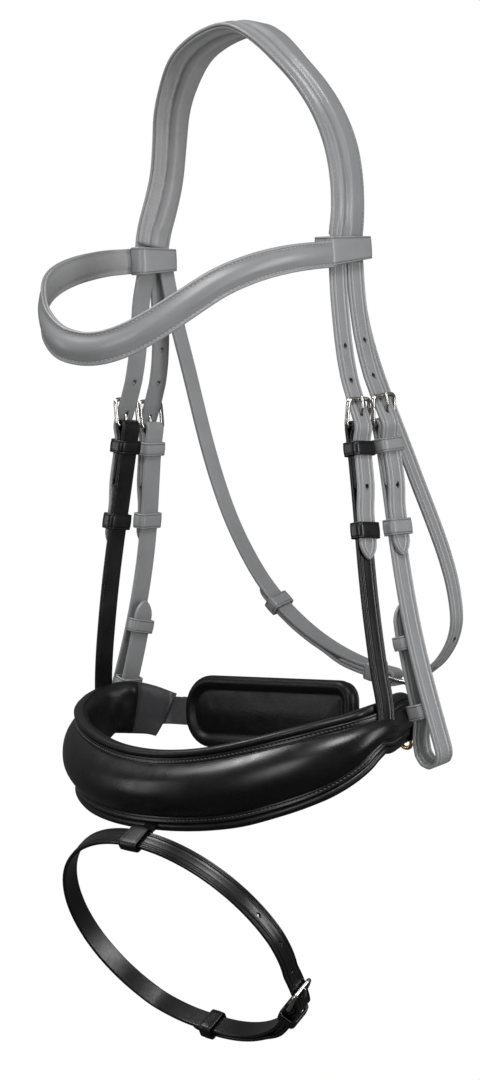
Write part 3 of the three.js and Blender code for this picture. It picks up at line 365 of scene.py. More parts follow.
def strap(route, keys, width, thick=LEATHER, start='flat', end='flat', crease=1.0, crown=0.0, soft=1.1, step=2.6, skive=(0, 0), side=None, wshape=None, blist=None):
    """One leather strap along (s, n) keys. Returns verts, faces, painted light (painted shade in the creases, painted
    highlight on the ridges) and the centre line.
    side: +1 or -1 puts the creases on that local face only; None follows the face that looks outwards."""
    c = sn_path(keys, soft, step)
    # distance along the strap from either end
    L = np.concatenate([[0], np.cumsum(np.linalg.norm(np.diff(c, axis=0), axis=1))])
    tot = L[-1]
    extra = []
    for kind, rev in ((start, False), (end, True)):
        if kind in TIPS:
            ln = TIPS[kind][0] * width / 16
            q = ln * np.array([0.0, 0.006, 0.02, 0.045, 0.08, 0.13, 0.2, 0.3, 0.42, 0.56, 0.72, 0.88])
        else:
            q = np.array([0.0, 0.12, 0.35, 0.8])
        extra.append(tot - q if rev else q)
    inner = L[(L > extra[0][-1] + 0.8) & (L < extra[1][-1] - 0.8)]
    q = np.unique(np.concatenate([extra[0], inner, extra[1]]))
    sn = np.stack([np.interp(q, L, c[:, 0]), np.interp(q, L, c[:, 1])], 1)
    P, T0, N0, W0 = route.at(sn[:, 0])
    C = P + sn[:, 1:2] * N0
    # tangent from a finely offset pair so that short end steps stay clean
    qa, qb = np.clip(q - 0.5, 0, tot), np.clip(q + 0.5, 0, tot)
    def point(x):
        s_, n_ = np.interp(x, L, c[:, 0]), np.interp(x, L, c[:, 1])
        p, _, n, _ = route.at(s_)
        return p + n_[:, None] * n
    T = unit(point(qb) - point(qa))
    N = unit(np.cross(W0, T)); W = np.cross(T, N)
    out = (N * N0).sum(1)
    f = np.ones(len(q)); th = np.ones(len(q))
    for kind, x in ((start, q), (end, tot - q)):
        if kind in TIPS:
            ln, fn = TIPS[kind]; ln = ln * width / 16
            f = np.minimum(f, np.where(x < ln, fn(np.clip(x / ln, 0, 1)), 1))
            th = np.minimum(th, np.where(x < 0.8, 0.5 + 0.5 * np.sqrt(np.clip(x / 0.8, 0, 1)), 1))
        else:
            th = np.minimum(th, np.where(x < 0.8, 0.55 + 0.45 * np.sqrt(np.clip(x / 0.8, 0, 1)), 1))
    for sk, x in ((skive[0], q), (skive[1], tot - q)):
        if sk:
            th = th * np.where(x < sk, 0.35 + 0.65 * np.clip(x / sk, 0, 1) ** 0.8, 1)
    hw0, ht0 = width / 2, thick / 2
    rings, painted_light = [], []
    for i in range(len(q)):
        hw, ht = hw0 * f[i] * (wshape(q[i], tot) if wshape else 1), ht0 * th[i]
        if side is None:
            at, ab = max(0.0, out[i]), max(0.0, -out[i])
        else:
            at, ab = (1.0, 0.0) if side > 0 else (0.0, 1.0)
        at, ab = at * crease * th[i], ab * crease * th[i]
        wt = np.maximum(hw - D_TOP, 0.0)
        live = hw > D_TOP
        zt = edge_round(D_TOP, ht) + np.where(live, crease_shape(D_TOP), 0) * at + crown * np.clip(1 - (wt / max(hw, 0.1)) ** 2, 0, 1)
        tt = 0.5 + np.where(live, crease_painted_light(D_TOP), 0) * at
        zb = edge_round(D_TOP, ht) + np.where(live, crease_shape(D_TOP), 0) * ab
        tb = 0.5 + np.where(live, crease_painted_light(D_TOP), 0) * ab
        # around: right edge, over the top to the left edge, back under
        w = np.concatenate([wt, [0.0], -wt[::-1], -wt[1:], [0.0], wt[1:][::-1]])
        n = np.concatenate([zt, [zt[-1] + crown * 0.15], zt[::-1], -zb[1:], [-zb[-1]], -zb[1:][::-1]])
        t = np.concatenate([tt, [0.5], tt[::-1], tb[1:], [0.5], tb[1:][::-1]])
        rings.append(C[i] + n[:, None] * N[i] + w[:, None] * W[i])
        painted_light.append(t)
    v, fc = loft(rings)
    return v, fc, np.concatenate(painted_light), (q, sn, C, T, N, W, tot, c, L)

def stitch_bits(points, normals, across, length=2.3, r=0.36, pitch=3.2, sink=0.12, slant=0.0, start=0.0):
    """Small capsules laid along a line of points, each a thread between two awl holes."""
    P, normals = np.asarray(points, float), np.asarray(normals, float)
    s = np.concatenate([[0], np.cumsum(np.linalg.norm(np.diff(P, axis=0), axis=1))])
    n = int((s[-1] - start) // pitch)
    vs, fs, base = [], [], 0
    prof = [(-0.5, 0.0, -0.9), (-0.46, 0.55, -0.45), (-0.3, 0.95, 0.0), (0.0, 1.08, 0.12), (0.3, 0.95, 0.0), (0.46, 0.55, -0.45), (0.5, 0.0, -0.9)]
    for i in range(n):
        m = start + (i + 0.5) * pitch
        f = lambda a, x: np.array([np.interp(x, s, a[:, k]) for k in range(3)])
        c = f(P, m); T = unit(f(P, m + 0.4) - f(P, m - 0.4)); N = unit(f(normals, m)); A = unit(np.cross(T, N))
        T = unit(T + slant * A); A = unit(np.cross(T, N))
        for (u, rr, dn) in prof:
            cc = c + T * u * length + N * (dn * r - sink)
            if rr == 0:
                vs.append(cc)
            else:
                for j in range(6):
                    a = math.pi / 3 * j
                    vs.append(cc + (math.cos(a) * A * 1.0 + math.sin(a) * N * 0.8) * r * rr)
        b = base
        for j in range(6):
            k = (j + 1) % 6
            fs.append((b, b + 1 + k, b + 1 + j))
            for q in range(4):
                o = b + 1 + q * 6
                fs.append((o + j, o + k, o + 6 + k, o + 6 + j))
            fs.append((b + 31, b + 25 + j, b + 25 + k))
        base += 32
    return vs, fs

def add_stitches(bd, pts, nrm, slot=1, **kw):
    v, f = stitch_bits(pts, nrm, None, **kw)
    if v:
        # every capsule has the same winding, so one test serves all
        one = outward(np.array(v[:32]), f[:36])
        if one[0] != f[0]:
            f = [tuple(reversed(q)) for q in f]
        bd.f += [tuple(i + bd.n for i in q) for q in f]
        bd.m += [slot] * len(f)
        bd.v.append(np.array(v)); bd.t.append(np.full(len(v), 0.5)); bd.n += len(v)

def strap_line(info, q0, q1, n, w, step=1.0):
    """Points and normals on a strap from strap-length q0 to q1 at height n and offset w."""
    q, sn, C, T, N, W, tot, c, L = info
    x = np.arange(q0, q1, step)
    g = lambda a: np.stack([np.interp(x, q, a[:, k]) for k in range(3)], 1)
    Nn, Ww = unit(g(N)), unit(g(W))
    return g(C) + n * Nn + w * Ww, Nn * (1 if n > 0 else -1)

def holes(obj, route_pts, r=1.35, depth=8.0):
    """Punches round billet holes: cutters at (point, normal) pairs, applied at once."""
    vs, fs, base = [], [], 0
    K = 18
    for p, n in route_pts:
        n = unit(n); a = unit(np.cross(n, [0.3, 0.8, 0.5])); b = np.cross(n, a)
        ring = [[p + sgn * n * depth / 2 + r * (math.cos(2 * math.pi * j / K) * a + math.sin(2 * math.pi * j / K) * b) for j in range(K)] for sgn in (-1, 1)]
        vs += ring[0] + ring[1]
        for j in range(K):
            k = (j + 1) % K
            fs.append((base + j, base + k, base + K + k, base + K + j))
        fs.append(tuple(base + j for j in range(K - 1, -1, -1)))
        fs.append(tuple(base + K + j for j in range(K)))
        base += 2 * K
    me = bpy.data.meshes.new("cutter")
    v = np.array(vs)
    fs = [tuple(x) for x in fs]
    me.from_pydata((v * MM).tolist(), [], fs)
    me.update()
    cut = bpy.data.objects.new("cutter", me)
    SCN.collection.objects.link(cut)
    md = obj.modifiers.new("holes", 'BOOLEAN')
    md.operation = 'DIFFERENCE'; md.object = cut; md.solver = 'EXACT'
    dg = bpy.context.evaluated_depsgraph_get()
    new = bpy.data.meshes.new_from_object(obj.evaluated_get(dg))
    obj.modifiers.remove(md)
    old = obj.data
    obj.data = new
    new.name = old.name
    bpy.data.meshes.remove(old)
    bpy.data.objects.remove(cut)
    bpy.data.meshes.remove(me)

# ----------------------------------------------------------------- keepers
def band(route, s, n0, n1, half, length=10.0, t=1.9, rc=1.5, crease=1.0, skew=0.0, taper=0.0):
    """Leather loop round the straps: a creased strip swept round a rounded rectangle in the plane across the route."""
    P, T, N, W = [a[0] for a in route.at(s)]
    if skew:
        T = unit(T + skew * W); W = unit(W - skew * T)
    cn, hn = (n0 + n1) / 2, (n1 - n0) / 2
    path = []
    rr = min(rc, hn * 0.95)
    def corner(sn_, sw, a0):
        for i in range(6):
            a = math.radians(a0 + 90 * i / 5)
            path.append((cn + sn_ * (hn - rr) + rr * math.cos(a), sw * (half - rr) + rr * math.sin(a), math.cos(a), math.sin(a)))
    corner(1, 1, 0); path += [(cn + (hn - rr) * k, half, 0.0, 1.0) for k in (0.4, 0, -0.4)] if hn > rr * 1.3 else []
    corner(-1, 1, 90); path += [(cn - hn, (half - rr) * k, -1.0, 0.0) for k in (0.6, 0.2, -0.2, -0.6)]
    corner(-1, -1, 180); path += [(cn + (hn - rr) * k, -half, 0.0, -1.0) for k in (-0.4, 0, 0.4)] if hn > rr * 1.3 else []
    corner(1, -1, 270); path += [(cn + hn, (half - rr) * k, 1.0, 0.0) for k in (-0.6, -0.2, 0.2, 0.6)]
    h = length / 2
    d = np.array([0.0, 0.1, 0.35, 0.75, 1.05, 1.35, 1.65, 2.1, 3.0])
    z = edge_round(d, t / 2, 0.8)
    cr = -0.30 * np.exp(-((d - 1.35) / 0.3) ** 2) * crease
    x = np.concatenate([h - d, [0.0], -(h - d)[::-1], -(h - d)[1:], [0.0], (h - d)[1:][::-1]])
    y = np.concatenate([z + cr, [z[-1] + 0.12], (z + cr)[::-1], -z[1:], [-z[-1]], -z[1:][::-1]])
    # painted shade: darker in the crease and on the inner face that lies against the strap
    tt = np.concatenate([0.5 + cr * 1.2, [0.5], (0.5 + cr * 1.2)[::-1], np.full(len(d) - 1, .45), [.45], np.full(len(d) - 1, .45)])
    rings = [[P + T * xi * (1 - taper * pw / half) + N * (pn + un * (t / 2 + yi)) + W * (pw + uw * (t / 2 + yi)) for xi, yi in zip(x, y)] for pn, pw, un, uw in path]
    v, f = loft(rings, closed_along=True, caps=False)
    return v, f, np.tile(tt, len(path))

# ------------------------------------------------------------------- wires
def sweep(points, r, closed, sides=16, flatten=None, up=None):
    c = np.asarray(points, float)
    k = len(c)
    if closed:
        T = unit(np.roll(c, -1, 0) - np.roll(c, 1, 0))
    else:
        T = unit(np.gradient(c, axis=0))
    if up is None:
        up = np.zeros(3)
        for i in range(k):
            a, b, d = c[i], c[(i + 1) % k], c[(i + 2) % k]
            up = up + np.cross(b - a, d - b)
    up = unit(up)
    S = unit(np.cross(T, up)); U = np.cross(S, T)
    rr = np.full(k, r) if np.isscalar(r) else np.asarray(r, float)
    a = np.arange(sides) / sides * 2 * math.pi
    rings = c[:, None] + rr[:, None, None] * (np.cos(a)[None, :, None] * S[:, None] + np.sin(a)[None, :, None] * U[:, None])
    return loft(rings, closed_along=closed, caps=not closed)

def soft_closed(pts, radius_pts, step=0.5):
    """Closed polyline with its corners softened."""
    p = np.asarray(pts, float)
    q = np.concatenate([p, p[:1]])
    c, s = resample(q, step)
    c = c[:-1]
    n = len(c)
    k = radius_pts / step
    r = int(k * 3) + 1
    w = np.exp(-0.5 * (np.arange(-r, r + 1) / k) ** 2); w /= w.sum()
    idx = (np.arange(n)[:, None] + np.arange(-r, r + 1)[None]) % n
    return (c[idx] * w[None, :, None]).sum(1)

def buckle(route, h, half, n0=0.0, grip=0.0):
    """Wire buckle: hinge bar at h, the frame rises off the straps towards its top bar."""
    hw = half + 0.8 + BAR_R
    top, low = 8.5, FOLD_R
    at = lambda k, w: put(route, h - FRAME_H * k, 0, n0 + low + (top - low) * k, w)
    pts = [at(0, -hw + 1.2), at(0, hw - 1.2), at(0.05, hw - 0.2), at(0.12, hw), at(0.5, hw + grip), at(0.86, hw), at(0.965, hw - 0.8), at(1, hw - 2.8), at(1, -hw + 2.8), at(0.965, -hw + 0.8), at(0.86, -hw), at(0.5, -hw - grip), at(0.12, -hw), at(0.05, -hw + 0.2)]
    c = soft_closed(pts, 0.9, 0.7)
    v, f = sweep(c, BAR_R, True, 18)
    return v, f

def tongue(route, h, n0=0.0):
    r0 = BAR_R + 0.35 + TONGUE_R
    pts = [(h + r0 * math.cos(math.radians(a)), n0 + FOLD_R + r0 * math.sin(math.radians(a))) for a in range(-120, 91, 15)]
    pts += [(h + s, n0 + n) for s, n in [(-3.5, 5.6), (-6.5, 6.4), (-9, 8.9), (-11.5, 10.4), (-15, 11.15), (-19.6, 11.35)]]
    c, L = resample(np.array(pts), 0.5)
    c = gauss(c, 1.6)
    P = np.array([put(route, s, 0, n, 0) for s, n in c])
    W = route.at(h)[3][0]
    tot = L[-1]
    r = np.interp(L, [0, tot - 7, tot - 0.6, tot], [TONGUE_R, TONGUE_R, TONGUE_R * 0.82, TONGUE_R * 0.45])
    return sweep(P, r, False, 14, up=W)

def fold_keys(h, n0=0.0):
    k = [[h + FOLD_R * math.cos(math.radians(a)), n0 + FOLD_R + FOLD_R * math.sin(math.radians(a))] for a in (-90, -125, -160, 160, 125, 90)]
    return k + [[h + 2, n0 + 6.25], [h + 5, n0 + 4.6], [h + 8, n0 + 3.2], [h + 10.5, n0 + LAYER], [h + SHORT_END, n0 + LAYER]]

def billet_keys(h, tip, n0=0.0):
    return [[h - 32, n0 + 2.3], [h - 18, n0 + 5.1], [h - 9, n0 + 7.25], [h, n0 + 9.4], [h + 3, n0 + 8.8], [h + 6, n0 + 7.4], [h + 9, n0 + 6.2], [h + 12, n0 + 5.9], [h + SHORT_END - 3, n0 + 5.8], [h + SHORT_END + 4, n0 + 5.0], [h + SHORT_END + 9, n0 + 4.1], [h + SHORT_END + 13.5, n0 + 3.4], [h + SHORT_END + 19, n0 + 3.2], [tip, n0 + 3.2]]

ALIAS = {}
def finish_piece(o, node):
    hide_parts(*([node] if isinstance(node, str) else node))
    return o

# visual names differ from the CAD node names so that no name clashes with a CAD node
def piece(bd_or_vf, name, mats, body, node, slot_name, **kw):
    if isinstance(bd_or_vf, Build):
        o = bd_or_vf.done(name, mats, body, **kw)
    else:
        v, f = bd_or_vf[:2]
        t = bd_or_vf[2] if len(bd_or_vf) > 2 else 0.5
        o = Build().add(v, f, t).done(name, mats, body, **kw)
    return finish_piece(o, node)

HINGE = {'nearH': 117.5, 'farH': 117.5, 'nearC': 116.5, 'farC': 121.5}
KEEP2 = {'nearH': 187.4, 'farH': 186.0, 'nearC': 187.0, 'farC': 188.5}
TIP_S = {'nearH': 207.0, 'farH': 204.5, 'nearC': 206.5, 'farC': 206.5}
BIT = {
    'nearC': dict(loop=340.0, r=9.8, tip=238.5, up=264.0, low=311.0, back=(7, 9, 11.3)),
    'farC': dict(loop=336.0, r=6.5, tip=245.5, up=264.0, low=306.0, back=(6.4, 7.2, 8.4)),
}
TOP_S = 3.0        # billets run up into the browband loop to here

def billet(route, keys, width, h, name, body, node, mats, n0=0.0, tip='point', hole_s=(), blend_pts=None, top=TOP_S):
    v, f, t, info = strap(route, keys, width, LEATHER, 'flat', tip)
    o = Build().add(v, f, t).done(name, mats, None)
    q, sn, C, T, N, W, tot, c, L = info
    hp = []
    for hs in hole_s:
        # strap length whose station is hs
        x = np.interp(hs, c[:, 0], L)
        p = np.array([np.interp(x, q, C[:, k]) for k in range(3)])
        n = np.array([np.interp(x, q, N[:, k]) for k in range(3)])
        hp.append((p, n))
    if hp:
        holes(o, hp)
    finish_piece(o, node)
    if blend_pts:
        a, b, s0, s1 = blend_pts
        p0, p1 = put(route, s0, 0, 0, 0) * MM, put(route, s1, 0, 0, 0) * MM
        tuple(p0)
        tuple(p1)
        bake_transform(o)
    else:
        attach(o, body)
    return o

def sewn_strap(route, keys, width, name, body, node, mats, start='flat', end='flat', rows=(), skive=(0, 0), slot_at=None, crease=1.0):
    v, f, t, info = strap(route, keys, width, LEATHER, start, end, skive=skive, crease=crease)
    bd = Build().add(v, f, t)
    q, sn, C, T, N, W, tot, c, L = info
    for (q0, q1, n, w) in rows:
        a, b = (tot + q0 if q0 < 0 else q0), (tot + q1 if q1 <= 0 else q1)
        pts, nn = strap_line(info, a, b, n, w)
        add_stitches(bd, pts, nn)
    o = bd.done(name, mats, body)
    return finish_piece(o, node), info

def strap_set(rid, side, word, strap_name, body, keys, strap_mats, strap_slot):
    r, h = R[rid], HINGE[rid]
    W2 = STRAP_W / 2
    tip = TIP_S[rid]
    n_top = 0.0
    hs = [h - 7.5 + k for k in (-50, -25, 0, 25, 50)] if word == 'cheek' else [h - 7.5 + k for k in (-48, -24, 0, 24, 48)]
    billet(r, [[TOP_S, 0], [h - 62, 0.3], [h - 46, 1.0]] + billet_keys(h, tip), STRAP_W, h, f"{word}_billet_{side}_leather", body, f"{word}_billet_{side}",
           [GREY, THREAD_G], hole_s=hs, blend_pts=("headpiece", body, SPLIT_S - 9, SPLIT_S + 22))
    rows = [(-SHORT_END + 4, -2.5, 1.3, w) for w in (-W2 + 2.5, W2 - 2.5)]
    sewn_strap(r, keys, STRAP_W, strap_name + "_leather", body, strap_name, strap_mats, start='flat' if word == 'noseband' else 'point', rows=rows, skive=(0, 5))
    sl = 'stainless_steel'
    piece(buckle(r, h, W2), f"{word}_buckle_{side}_wire", [STEEL], body, f"{word}_buckle_{side}", sl)
    piece(tongue(r, h), f"{word}_tongue_{side}_wire", [STEEL], f"{word}_tongue_{side}", f"{word}_tongue_{side}", sl)
    piece(band(r, h + 15, -1.8, 7.9, W2 + 0.6, 9.6), f"{word}_keeper_fixed_{side}_loop", [strap_mats[0]], body, f"{word}_keeper_fixed_{side}", strap_slot)
    piece(band(r, KEEP2[rid], -2.0, 5.1, W2 + 0.8, 11), f"{word}_keeper_sliding_{side}_loop", [strap_mats[0]], f"{word}_keeper_{side}", f"{word}_keeper_sliding_{side}", strap_slot)

GM, BM = [GREY, THREAD_G], [BLACK, THREAD_B]
for side, rid in (('near', 'nearH'), ('far', 'farH')):
    h = HINGE[rid]
    strap_set(rid, side, 'noseband', f'noseband_hanger_{side}', 'noseband', [[R[rid].length - 5, 0], [h + 60, 0]] + fold_keys(h), BM, 'black_leather')
for side, rid in (('near', 'nearC'), ('far', 'farC')):
    b, r, h = BIT[rid], R[rid], HINGE[rid]
    c = b['r']
    keys = [[b['tip'], -b['back'][0]], [b['up'] - 6, -b['back'][1]], [b['up'] + 6, -b['back'][1]], [b['low'] - 6, -b['back'][2]], [b['low'] + 6, -b['back'][2] - 0.6], [b['loop'] - c * 0.95, -2 * c + 1.4]]
    keys += [[b['loop'] + c * math.cos(math.radians(a)), -c + c * math.sin(math.radians(a))] for a in (-90, -50, -10, 30, 60, 90)]
    keys += [[b['loop'] - 12, 0], [h + 60, 0]] + fold_keys(h)
    strap_set(rid, side, 'cheek', f'cheekpiece_{side}', f'cheek_{side}', keys, GM, 'grey_leather')
    W2 = STRAP_W / 2
    piece(band(r, b['up'], -b['back'][1] - 2.1, -3.6, W2 + 0.6, 9.6), f'bit_keeper_upper_{side}_loop', [GREY], f'cheek_{side}', f'bit_keeper_upper_{side}', 'grey_leather')
    piece(band(r, b['low'], -b['back'][2] - 2.6, -3.6, W2 + 0.6, 10.4), f'bit_keeper_lower_{side}_loop', [GREY], f'cheek_{side}', f'bit_keeper_lower_{side}', 'grey_leather')

# -------------------------------------------------------------- throatlash
r, h, tip = R['throat'], 340.0, 467.0
Lr = r.length
W2 = THROAT_W / 2
billet(r, [[TOP_S, 0], [h - 62, 0.3], [h - 46, 1.0]] + billet_keys(h, tip), THROAT_W, h, "throatlash_billet_near_leather", "throatlash", "throatlash_billet_near", GM,
       hole_s=[h - 7.5 + k for k in (-50, -25, 0, 25, 50)], blend_pts=("headpiece", "throatlash", SPLIT_S - 9, SPLIT_S + 22))
v, f, t, info = strap(r, [[Lr - TOP_S, 0], [h + 60, 0]] + fold_keys(h), THROAT_W, LEATHER, 'flat', 'flat', skive=(0, 5))
bd = Build().add(v, f, t)
for w in (-W2 + 2.4, W2 - 2.4):
    add_stitches(bd, *strap_line(info, info[6] - SHORT_END + 4, info[6] - 2.5, 1.3, w))
o = bd.done("throatlash_strap_far_leather", GM, None)
finish_piece(o, "throatlash_strap_far")
tuple(put(r, Lr - SPLIT_S + 9, 0, 0, 0) * MM)
tuple(put(r, Lr - SPLIT_S - 22, 0, 0, 0) * MM)
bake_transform(o)
piece(buckle(r, h, W2), "throatlash_buckle_wire", [STEEL], "throatlash", "throatlash_buckle", 'stainless_steel')
piece(tongue(r, h), "throatlash_tongue_wire", [STEEL], "throatlash_tongue", "throatlash_tongue", 'stainless_steel')
piece(band(r, h + 15, -1.8, 7.9, W2 + 0.6, 9), "throatlash_keeper_fixed_loop", [GREY], "throatlash", "throatlash_keeper_fixed", 'grey_leather')
piece(band(r, 447, -2.1, 5.2, W2 + 0.8, 10), "throatlash_keeper_sliding_loop", [GREY], "throatlash_keeper", "throatlash_keeper_sliding", 'grey_leather')

# ------------------------------------------------------------- flash strap
r = R['flash']
ring_len = 2 * math.pi * FLASH_R
deg = FLASH_R * math.pi / 180
h, tip, k2, F0 = 123 * deg, 206 * deg, 194 * deg, -5.0
back = h - ring_len
keys = billet_keys(h, tip, F0)[::-1] + [[h - 46, -1.2], [h - 64, 0], [h - 80, 0], [0, 0], [back + 160, 0], [back + 138, F0 * 0.5], [back + 118, F0], [back + 60, F0]] + fold_keys(back, F0)
v, f, t, info = strap(r, keys, FLASH_W, LEATHER, 'point', 'flat', skive=(0, 5), side=-1)
bd = Build().add(v, f, t)
for w in (-FLASH_W / 2 + 2.4, FLASH_W / 2 - 2.4):
    add_stitches(bd, *strap_line(info, info[6] - SHORT_END + 4, info[6] - 2.5, 1.3, w))
o = bd.done("flash_strap_leather", BM, "flash")
q, sn, C, T, N, W, tot, c, L = info
hp = []
first = c[:, 0].argmin() if False else None
for hs in [h - 7.5 + k for k in (-75, -50, -25, 0, 25, 50)]:
    i = np.argmax((c[:, 0] <= hs) & (L < 220))
    x = L[i]
    hp.append((np.array([np.interp(x, q, C[:, k]) for k in range(3)]), np.array([np.interp(x, q, N[:, k]) for k in range(3)])))
holes(o, hp)
finish_piece(o, "flash_strap")
piece(buckle(r, h, FLASH_W / 2, F0), "flash_buckle_wire", [STEEL], "flash", "flash_buckle", 'stainless_steel')
piece(tongue(r, h, F0), "flash_tongue_wire", [STEEL], "flash_tongue", "flash_tongue", 'stainless_steel')
piece(band(r, h + 15, F0 - 2.0, F0 + 8.3, FLASH_W / 2 + 0.6, 9), "flash_keeper_fixed_loop", [BLACK], "flash", "flash_keeper_fixed", 'black_leather')
piece(band(r, k2, F0 - 2.2, F0 + 5.4, FLASH_W / 2 + 0.8, 10), "flash_keeper_sliding_loop", [BLACK], "flash_keeper", "flash_keeper_sliding", 'black_leather')
tb = band(r, FLASH_TOP, -2.2, 2.2, FLASH_W / 2 + 0.8, 15, 2.0)
bd = Build().add(tb[0], tb[1], tb[2] if len(tb) > 2 else 0.5)
# the tab's sewn end, from the loop up into the noseband's lower lip
tv, tf = [], []
for i in range(9):
    k = i / 8
    y, z, w = -97.0 + 12.5 * k, -545.6 + 6.1 * k - 1.0 * math.sin(math.pi * k), 5.6 + 0.6 * k
    for dx, dn in ((-1, -0.6), (-1, 0.6), (-0.9, 1), (0.9, 1), (1, 0.6), (1, -0.6), (0.9, -1), (-0.9, -1)):
        tv.append((2.4 + dx * w, y - 0.44 * 1.3 * dn, z + 0.90 * 1.3 * dn))
for i in range(8):
    for j in range(8):
        tf.append((i * 8 + j, i * 8 + (j + 1) % 8, (i + 1) * 8 + (j + 1) % 8, (i + 1) * 8 + j))
tf += [tuple(range(7, -1, -1)), tuple(range(64, 72))]
bd.add(np.array(tv), tf, 0.5)
o = bd.done("flash_tab_loop", [BLACK], None)
finish_piece(o, "flash_tab")
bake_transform(o)
# -------------------------------------------------------------- headpiece
def smooth(x, a, b):
    t = np.clip((x - a) / (b - a), 0, 1)
    return t * t * (3 - 2 * t)

def lump(x, c, w):
    return np.exp(-((x - c) / w) ** 2)

def arch_half(u):
    return 15.6 + 5.6 * np.exp(-((u - 0.5) / 0.17) ** 2)

HEAD_D = np.array([0, 0.12, 0.4, 0.9, 1.6, 2.4, 3.4, 4.6, 5.4, 6.0, 6.6, 7.2, 7.9, 8.7, 9.5, 10.2, 10.8, 11.4, 11.9, 12.3, 12.7, 13.2, 13.8, 14.4, 15.1, 15.9, 17.0, 18.5, 20.5, 22.5, 24.5, 26.2, 27.2, 27.8, 28.4, 29.2, 30.0, 30.6, 30.95, 31.08, 31.2])
def head_relief(d, k):
    """Relief across the headpiece: stitched margin, a narrow front roll, a groove, then the broad soft crown."""
    a = 1.55 * smooth(d, 5.3, 7.9) * (1 - smooth(d, 8.9, 11.9))
    b = (2.9 - 1.15 * smooth(d, 15.5, 28.5)) * smooth(d, 12.5, 15.6) * (1 - smooth(d, 26.4, 28.9))
    return (a + b) * k - 0.22 * lump(d, 2.9, 0.55) - 0.25 * lump(d, 12.2, 0.6) - 0.18 * lump(d, 29.3, 0.5)

# painted light across the headpiece: painted highlights on the front roll, the rise of the crown and the outer edges,
# painted shade in the groove and the stitch channels
def head_painted_light(d):
    return 0.5 + 0.05 * lump(d, 7.4, 1.0) - 0.12 * lump(d, 12.2, 1.0) + 0.05 * lump(d, 15.3, 1.0) - 0.08 * lump(d, 2.9, 0.5) - 0.06 * lump(d, 29.3, 0.5) + 0.08 * (lump(d, 0, 0.6) + lump(d, 31.2, 0.6))

ARCHR = R['arch']
LA = ARCHR.length
def head_shell(s0, s1, outer):
    rings, painted_light, fronts = [], [], [[], [], [], []]
    ss = np.linspace(s0, s1, int((s1 - s0) / 2.6))
    P, T, N, W = ARCHR.at(ss)
    for i, s in enumerate(ss):
        u = s / LA
        h = arch_half(np.clip(u, 0, 1)) - (0 if outer else 0.9)
        inside = smooth(np.array([min(s + 11, LA + 11 - s)]), 0, 14)[0]
        h = h * (0.94 + 0.06 * inside)
        sc = 2 * h / 31.2
        d = HEAD_D.copy()
        x = np.where(d < 5.3, d, np.where(d > 28.4, 2 * h - (31.2 - d), 5.3 + (d - 5.3) * (2 * h - 5.3 - 2.8) / (28.4 - 5.3)))
        w = x - h
        edge = np.minimum(d, 31.2 - d)
        er = np.sqrt(np.clip(1 - (1 - np.clip(edge / 0.95, 0, 1)) ** 2, 0, 1))
        wob = 0.10 * math.sin(s * 0.21) + 0.07 * math.sin(s * 0.47 + 1.0)
        if outer:
            k = 0.75 + 0.3 * inside
            top = -0.05 + 1.2 * er + head_relief(d, k) * np.clip(edge / 0.95, 0, 1) + wob * 0.5 * smooth(edge, 4, 9)
            bot = np.full(len(d), -1.2) + 0.9 * (1 - er)
            n = np.concatenate([top, bot[::-1][1:-1]])
            ww = np.concatenate([w, w[::-1][1:-1]])
            t = np.concatenate([head_painted_light(d), np.full(len(d) - 2, 0.5)])
        else:
            inside = smooth(np.array([min(s - 2.5, LA - 2.5 - s)]), 0, 15)[0]
            k = 0.5 + 0.8 * inside
            wr = 0.16 * math.sin(s * 0.62) * inside
            top = np.full(len(d), -1.45)
            bot = -1.95 - 1.0 * er - head_relief(d, k * 1.25) * np.clip(edge / 0.95, 0, 1) + (wob + wr) * smooth(edge, 4, 9)
            n = np.concatenate([top, bot[::-1]])
            ww = np.concatenate([w, w[::-1]])
            t = np.concatenate([np.full(len(d), 0.5), head_painted_light(d)[::-1]])
        rings.append(P[i] + n[:, None] * N[i] + ww[:, None] * W[i])
        painted_light.append(t)
        z = (1.15 - 0.16) if outer else (-2.95 + 0.16)
        for q, dw in enumerate((-h + 2.9, h - 1.9)):
            fronts[q].append(P[i] + z * N[i] + dw * W[i])
            fronts[q + 2].append(N[i] * (1 if outer else -1))
    v, f = loft(rings)
    return v, f, np.concatenate(painted_light), fronts

v, f, t, fr = head_shell(-11.0, LA + 11.0, True)
bd = Build().add(v, f, t)
add_stitches(bd, fr[0], fr[2], length=2.2, r=0.34, pitch=3.0)
add_stitches(bd, fr[1], fr[3], length=2.2, r=0.34, pitch=3.0)
piece(bd, "headpiece_crown_leather", GM, "headpiece", "headpiece_outer", 'grey_leather')
v, f, t, fr = head_shell(-3.0, LA + 3.0, False)
bd = Build().add(v, f, t)
add_stitches(bd, fr[0], fr[2], length=2.2, r=0.34, pitch=3.0)
add_stitches(bd, fr[1], fr[3], length=2.2, r=0.34, pitch=3.0)
o = piece(bd, "headpiece_padding_lining", [GREY_LIN, THREAD_G], "headpiece", "headpiece_padding", 'grey_lining')

